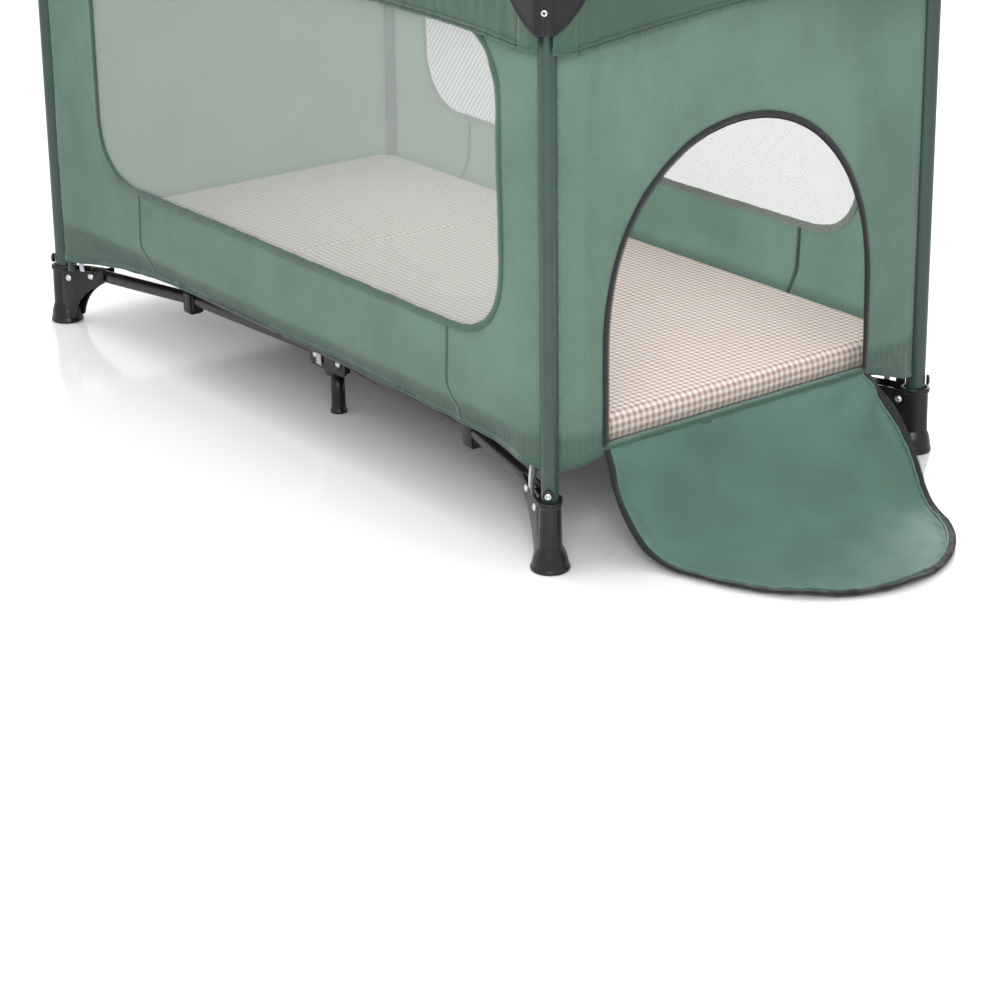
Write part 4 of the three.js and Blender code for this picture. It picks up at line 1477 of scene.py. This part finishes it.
def mattress_top(x, y):
    crown = 0.0022 * (1 - (x / MAT_X) ** 4) * (1 - (y / MAT_Y) ** 4)
    lumps = soft(x, y, 0.13, 61.0, 3) * 0.0011 + soft(x * 0.6, y, 0.035, 64.0, 2) * 0.0005
    away = x - (CREASE_X + 0.15 * y + 0.002 * np.sin(y * 19))
    crown = crown - 0.0030 * np.exp(-((away / 0.0065) ** 2)) + 0.0010 * np.exp(-((away / 0.03) ** 2))
    edge = np.minimum(MAT_X - np.abs(x), MAT_Y - np.abs(y))
    return (crown + lumps) * smooth_step(edge, 0.004, 0.05)


def rounded_ring(inset):
    radius = max(MAT_CORNER - inset, 0.002)
    x, y = MAT_X - inset - radius, MAT_Y - inset - radius
    ring = []
    for cx, cy, start in ((x, -y, -90), (x, y, 0), (-x, y, 90), (-x, -y, 180)):
        for angle in np.radians(np.linspace(start, start + 90, 12)):
            ring.append((cx + radius * math.cos(angle), cy + radius * math.sin(angle)))
    ring = np.array(ring)
    filled = []
    for a, b in zip(ring, np.roll(ring, -1, 0)):
        gap = np.linalg.norm(b - a)
        pieces = 130 if gap > 0.8 else 62 if gap > 0.3 else 1
        filled += [a + (b - a) * k / pieces for k in range(pieces)]
    return np.array(filled)


def mattress_section():
    """The cover's section, from the underside round the edge to the top. Each row is how far inside the
    outline it is, its height, how much the side's wave and the top's lumps move it, and how far the
    cloth has run on past the top's edge, or None where it lies flat."""
    quarter, upright = EDGE_ROLL * math.pi / 2, MAT_HIGH - MAT_LOW - 2 * EDGE_ROLL
    rows = [(inset, MAT_LOW, 0, 0, None) for inset in (0.030, 0.016, EDGE_ROLL)]
    for a in np.radians([-72, -54, -36, -18, 0]):
        rows.append((EDGE_ROLL * (1 - math.cos(a)), MAT_LOW + EDGE_ROLL * (1 + math.sin(a)), math.cos(a), 0,
                     quarter + upright - EDGE_ROLL * a))
    rows.append((-0.0006, (MAT_LOW + MAT_HIGH) / 2, 1, 0, quarter + upright / 2))
    for a in np.radians([0, 15, 30, 45, 60, 75, 90]):
        rows.append((EDGE_ROLL * (1 - math.cos(a)), MAT_HIGH - EDGE_ROLL * (1 - math.sin(a)), math.cos(a),
                     math.sin(a), quarter - EDGE_ROLL * a))
    return rows + [(inset, MAT_HIGH, 0, 1, None) for inset in (0.017, 0.025)]


def mattress():
    rings, uvs = [], []
    base, top_edge = rounded_ring(0.0), rounded_ring(EDGE_ROLL)
    ahead = np.roll(base, -1, 0) - np.roll(base, 1, 0)
    outward = unit(np.column_stack([ahead[:, 1], -ahead[:, 0]]))
    side_wave = soft(base[:, 0] * 1.4 + base[:, 1] * 1.4, base[:, 0] - base[:, 1], 0.06, 71.0, 2) * 0.0012
    for inset, z, swing, lift, run_on in mattress_section():
        ring = rounded_ring(inset) if inset > 0 else base - outward * inset
        ring = ring + outward * (side_wave * swing)[:, None]
        rings.append(np.column_stack([ring, z + mattress_top(ring[:, 0], ring[:, 1]) * lift]))
        uvs.append(ring if run_on is None else top_edge + outward * run_on)
    points, faces = skin(rings, caps=False)
    uv = np.concatenate(uvs)
    last = rounded_ring(0.025)
    flat, fill = filled_flat([last], 0.0085)
    top = np.column_stack([flat, MAT_HIGH + mattress_top(flat[:, 0], flat[:, 1])])
    start = (len(rings) - 1) * len(base)
    link = np.arange(len(flat)) + len(points) - len(base)
    link[:len(base)] = start + np.arange(len(base))
    faces += [tuple(int(link[i]) for i in face) for face in fill]
    points = np.concatenate([points, top[len(base):]])
    uv = np.concatenate([uv, flat[len(base):]])
    faces.append(tuple(reversed(range(len(base)))))
    return points, faces, uv


points, faces, uv = mattress()
pad = make_piece("mattress_cover", points, faces, mattress_cover)
layer = pad.data.uv_layers.new(name="UVMap")
corner_of = np.zeros(len(pad.data.loops), np.int32)
pad.data.loops.foreach_get("vertex_index", corner_of)
layer.data.foreach_set("uv", uv[corner_of].astype(np.float32).ravel())
finish_piece(pad, "mattress", ["mattress"])
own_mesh(pad)

# %% [markdown]
# ## Base cloth and straps
# A dark lining hangs under the mattress. It is cut in four, and each quarter swings up with its own
# base tube when the cot folds. A pale webbing strap joins the two hubs, and shorter straps hold the
# lining to the hubs and feet.

# %% Base cloth and straps
TRAY_X, TRAY_Y = 0.6085, 0.2995


def tray_quarter():
    """A quarter of the lining, for +X and +Y: a flat base whose outer edges turn up."""
    edge = refined([(0, 0), (TRAY_X, 0), (TRAY_X, 0.225), (0.52, TRAY_Y), (0, TRAY_Y)], 0.012)
    flat, faces = filled_flat([edge * (0.992, 0.984)], 0.018)
    sag = 0.1280 + soft(flat[:, 0], flat[:, 1], 0.09, 91.0, 2) * 0.0006
    points, count = [np.column_stack([flat, sag])], len(edge)
    on_x, on_y = edge[:, 1] < 1e-6, edge[:, 0] < 1e-6
    outer = ~(on_x & (edge[:, 0] < TRAY_X - 1e-6)) & ~(on_y & (edge[:, 1] < TRAY_Y - 1e-6))
    rise = 0.0005 + 0.0150 * smooth_step(edge[:, 0], 0.575, 0.52)
    start = 0
    for height in (0.1320, 0.1320 + rise):
        fresh = sum(len(p) for p in points)
        points.append(np.column_stack([edge, np.broadcast_to(height, count)]))
        faces += [(start + i, start + (i + 1) % count, fresh + (i + 1) % count, fresh + i)
                  for i in range(count) if outer[i] and outer[(i + 1) % count]]
        start = fresh
    return np.concatenate(points), faces


points, faces = tray_quarter()
for corner, (sx, sy) in CORNERS.items():
    sides = faces if sx * sy > 0 else flipped(faces)
    panel = make_piece(f"base_lining_{corner}", points * (sx, sy, 1), sides, lining)
    add_modifier(panel, "SOLIDIFY", thickness=0.0012, offset=0.0)
    applied(panel)
    finish_piece(panel, f"tube_{corner}", ["floor_sheet"] if corner == "fl" else [])
    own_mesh(panel)

y = np.linspace(-0.190, 0.190, 90)
path = np.column_stack([0.0015 * np.sin(y * 21), y, 0.1043 - 0.0022 * np.cos(y * 8.2)])
shape = strip(path, np.tile([1.0, 0, 0], (90, 1)), np.tile([0, 0, 1.0], (90, 1)), 0.0250, 0.0018)
cross = make_piece("cross_webbing", *shape, webbing, "hub_front", slot="webbing", stands_for=["cross_strap"])
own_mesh(cross)


def hanging_strap(points, across, width, thick=0.0016):
    """A short strap through a few points, with its flat side square to across."""
    points = np.asarray(points, float)
    s = np.linspace(0, len(points) - 1, 24)
    path = np.column_stack([np.interp(s, range(len(points)), points[:, i]) for i in range(3)])
    for _ in range(4):
        path[1:-1] = (path[:-2] + 2 * path[1:-1] + path[2:]) / 4
    ahead = np.gradient(path, axis=0)
    ahead = unit(ahead)
    across = np.tile(np.asarray(across, float), (24, 1))
    face = np.cross(ahead, across)
    face = unit(face)
    return strip(path, across, face, width, thick)


for side, sy in (("front", -1), ("back", 1)):
    route = ((0.2293, BASE_Z - 0.012), (0.2296, BASE_Z + 0.012), (0.2320, 0.1000), (0.2520, 0.1180),
             (0.2800, 0.1290))
    shape = hanging_strap([(-0.017, sy * y, z) for y, z in route], (1, 0, 0), 0.0115)
    make_piece(f"hub_strap_{side}", *shape, webbing, f"hub_{side}", slot="webbing")

FOOT_STRAP = [(0.047, 0.0060, 0.0880), (0.046, 0.0050, 0.0990), (0.048, 0.0080, 0.1100), (0.052, 0.0150, 0.1275)]
FOOT_TAB = [(0.030, -0.0030, 0.0860), (0.030, -0.0030, 0.1000), (0.032, 0.0020, 0.1130), (0.036, 0.0080, 0.1270)]
fork_line = (math.cos(FORK_TURN), math.sin(FORK_TURN), 0)
for corner in CORNERS:
    body = f"leg_{corner}"
    strap = hanging_strap(FOOT_STRAP, fork_line, 0.0080)
    corner_piece("foot_strap", strap, webbing, corner, body, slot="webbing")
    tab = hanging_strap(FOOT_TAB, fork_line, 0.0130, 0.0024)
    corner_piece("foot_tab", tab, lining, corner, body, slot="lining")

# %% [markdown]
# ## The open door flap
# The flap is the piece that the arched zip cuts out of the wall. Unzipped, it hangs from the sill,
# bends where it meets the floor and lies flat. Its right side comes down more slowly than its left.
# Its free edge carries the other half of the zip, sewn on with a puckered seam.

# %% Flap
FLAP_TOP, FLAP_SPRING, FLAP_HALF = 0.372, 0.118, 0.2205
SILL_X, SILL_Z, SILL_Y = 0.6225, 0.1395, -0.0205
FLAP_END = 0.9165


def flap_half_width(h):
    over = np.clip((h - FLAP_SPRING) / (FLAP_TOP - FLAP_SPRING), 0, 1)
    return FLAP_HALF * np.sqrt(np.clip(1 - over**2.05, 0, 1))


def flap_line(b):
    """The flap's line down from the sill at b, from -1 on its left edge to 1 on its right."""
    touch = 0.7325 + 0.0325 * b - 0.008
    knee = 0.0035
    points = [(SILL_X, SILL_Z), (SILL_X + 0.006, SILL_Z - 0.003)]
    x0, z0 = SILL_X + 0.006, SILL_Z - 0.003
    for t in np.linspace(0.08, 1, 26):
        bow = 0.003 * math.sin(math.pi * t)
        lean = t ** (1.52 - 0.78 * b)
        points.append((x0 + (touch - x0) * lean + bow * 0.8, z0 + (knee - z0) * t + bow * 0.45))
    points += [(x, knee) for x in np.linspace(touch + 0.01, 1.0, 40)]
    line = np.array(points)
    for _ in range(14):
        line[1:-1] = (line[:-2] + 2 * line[1:-1] + line[2:]) / 4
    return line


RUNS = {}


def flap_run(b):
    """The line at b, with the flat flap's own distance from the sill for each of its points."""
    if b not in RUNS:
        line = flap_line(b)
        s = np.concatenate([[0], np.cumsum(np.linalg.norm(np.diff(line, axis=0), axis=1))])
        RUNS[b] = line, s * (FLAP_TOP / np.interp(FLAP_END, line[:, 0], s))
    return RUNS[b]


def fan(h, away, count, phase, spread):
    """Folds that fan out from one end of the sill. away is the distance from that end along it."""
    angle = np.arctan2(h + 0.004, away + 0.012)
    return np.sin(angle * count + phase) * np.exp(-((np.hypot(h, away) - 0.06) / spread) ** 2)


def flap_surface(h, y, lift=0.0):
    """Where a point of the flat flap lies. h runs from the sill to the flap's top, y across it."""
    h, y = np.ravel(h), np.ravel(y)
    b = y / FLAP_HALF
    place = np.zeros((len(h), 3))
    for i, (a, side) in enumerate(zip(h, b)):
        line, s = flap_run(float(np.round(side, 3)))
        place[i, 0] = np.interp(a, s, line[:, 0])
        place[i, 2] = np.interp(a, s, line[:, 1])
    narrow = 1 - 0.090 * smooth_step(h, 0.02, 0.24)
    place[:, 1] = SILL_Y + y * narrow + 0.012 * smooth_step(h, 0.05, 0.20)
    on_floor = smooth_step(place[:, 2], 0.030, 0.004)
    waves = soft(h * 1.1, y, 0.095, 43.0, 2)
    hanging = soft(h * 0.5, y, 0.09, 47.0, 2)
    folds = fan(h, FLAP_HALF - y, 9, 0.6, 0.055) * 0.0042 + fan(h, FLAP_HALF + y, 13, 2.0, 0.05) * 0.0010
    tied = smooth_step(h, 0.0, 0.03)
    push = tied * ((1 - on_floor) * (hanging * 0.0026 + folds))
    lumps = on_floor * (0.0030 + 0.0026 * np.maximum(waves, -0.6))
    half = np.maximum(flap_half_width(h), 1e-4)
    edge = np.minimum(half - np.abs(y), (FLAP_TOP - h) * 1.2)
    seam = 0.0018 * np.exp(-(((edge - 0.0165) / 0.0035) ** 2))
    pucker = soft(h * 5, y * 5, 0.05, 53.0, 2) * 0.0012 * np.exp(-(((edge - 0.018) / 0.012) ** 2))
    rise = push + seam + pucker + lift
    slope = 0.85 * (1 - on_floor)
    place[:, 0] += rise * slope
    place[:, 2] += rise * (1 - 0.45 * (1 - on_floor)) + lumps
    place[:, 2] = np.maximum(place[:, 2], 0.0012 + lift)
    return place


def flap_edge(inset, step=0.004):
    """The free edge of the flat flap, from the sill's front corner round to the back one."""
    h = np.concatenate([np.linspace(0.0, FLAP_SPRING, 20, endpoint=False),
                        FLAP_SPRING + (FLAP_TOP - FLAP_SPRING) * np.sin(np.linspace(0, math.pi / 2, 60))])
    half = flap_half_width(h)
    left = np.column_stack([h, -half])
    path = refined(np.concatenate([left, (left * (1, -1))[::-1]]), step, closed=False)
    ahead = np.gradient(path, axis=0)
    ahead = unit(ahead)
    normal = np.column_stack([-ahead[:, 1], ahead[:, 0]])
    centre = np.array([0.17, 0.0])
    normal *= np.sign(np.sum(normal * (centre - path), 1))[:, None]
    return path + normal * inset


flap_rim = flap_edge(0.0085)
sill_line = refined([flap_rim[-1] * (0, 1), flap_rim[0] * (0, 1)], 0.006, closed=False)
flat, faces = flat_cloth(np.concatenate([flap_rim, sill_line[:-1]]), (), 0.0052)
flap = make_piece("flap_cloth", flap_surface(flat[:, 0], flat[:, 1]), faces, flap_cloth)
add_modifier(flap, "SOLIDIFY", thickness=0.0011, offset=0.0)
applied(flap)
finish_piece(flap, None, ["door_flap_upper", "door_flap_lower"])


def flap_bends(obj):
    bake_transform(obj)


def flap_strip(name, inset, width, thick, material, slot, lift=0.0):
    path = flap_edge(inset)
    here = flap_surface(path[:, 0], path[:, 1], lift)
    inner = flap_surface(*(flap_edge(inset + 0.003)).T, lift)
    ahead = np.gradient(here, axis=0)
    ahead = unit(ahead)
    across = inner - here
    across -= ahead * np.sum(across * ahead, 1)[:, None]
    across = unit(across)
    face = np.cross(ahead, across)
    up = np.array([0.35, 0, 0.9])
    if np.sum(face @ up) < 0:
        face = -face
        across = -across
    flap_bends(make_piece(name, *strip(here, across, face, width, thick), material, slot=slot))
    return face


flap_bends(flap)
face = flap_strip("zip_tape_flap", 0.0045, 0.0085, 0.0018, zip_tape, "zip_tape", 0.0002)
edge_line = flap_surface(*flap_edge(0.0006).T, 0.0008)
teeth = zip_teeth("zip_teeth_flap", edge_line, face, None)
flap_bends(teeth)
seam_line = flap_surface(*flap_edge(0.0105).T, 0.0012)
radius = 0.0019 * (1 + 0.25 * soft(seam_line[:, 0] * 6, seam_line[:, 1] * 6, 0.05, 58.0, 2))
roll = make_piece("flap_seam_roll", *tube(seam_line, radius, 10), flap_cloth, slot="satin_green")
flap_bends(roll)

# %% [markdown]
# ## Light and floor
# The cot stands on a white studio floor: a broad soft light above and to the left, a weaker one from
# the front, and a bright surround that fades the floor into white.

# %% Stage


def area_light(name, place, aim, size, power, colour=(1, 1, 1)):
    data = bpy.data.lights.new(name, "AREA")
    data.shape, data.size, data.size_y = "RECTANGLE", size[0], size[1]
    data.energy, data.color = power, colour
    obj = bpy.data.objects.new(name, data)
    obj.location = place
    obj.rotation_euler = (Vector(aim) - Vector(place)).to_track_quat("-Z", "Y").to_euler()
    bpy.context.scene.collection.objects.link(obj)
    return obj


def floor_finish():
    finish = Finish("studio floor")
    place, _ = finish.object_xyz()
    cloud = finish.noise(place, 3.0)
    finish.set(Base_Color=finish.mix(cloud, linear(246, 246, 247), linear(250, 250, 250)))
    finish.set(Roughness=0.10 + cloud * 0.04)
    return finish.set(Specular_IOR_Level=0.5).material


floor = make_piece("floor", [(-9, -9, 0), (9, -9, 0), (9, 9, 0), (-9, 9, 0)], [(0, 1, 2, 3)],
                   floor_finish(), smooth=False)
floor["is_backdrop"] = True
world = bpy.data.worlds.new("studio")
world.use_nodes = True
world.node_tree.nodes["Background"].inputs[0].default_value = (1.0, 1.0, 1.0, 1)
world.node_tree.nodes["Background"].inputs[1].default_value = 0.95
bpy.context.scene.world = world
area_light("key", (-0.8, -0.6, 3.2), (COT_X, 0, 0.3), (2.2, 1.6), 46)
area_light("front", (1.9, -1.5, 1.4), (COT_X + 0.6, -0.30, 0.45), (0.9, 0.9), 26)
area_light("rim", (-1.2, 2.4, 1.6), (COT_X, 0, 0.4), (1.8, 1.4), 40)
scene = bpy.context.scene
scene.view_settings.view_transform = "Standard"
scene.view_settings.look = "None"
scene.view_settings.exposure = 0.0

# %% [markdown]
# ## The windows' ends
# The loop below reads the ends of the front and back windows, and makes nothing from them.


for side in ("front", "back"):
    lo, hi = WALLS[side]["window"]

# %% [markdown]
# The dressed cot's box is found here, as the designed frame's box was at the start.

# %% Sizes
low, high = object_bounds()
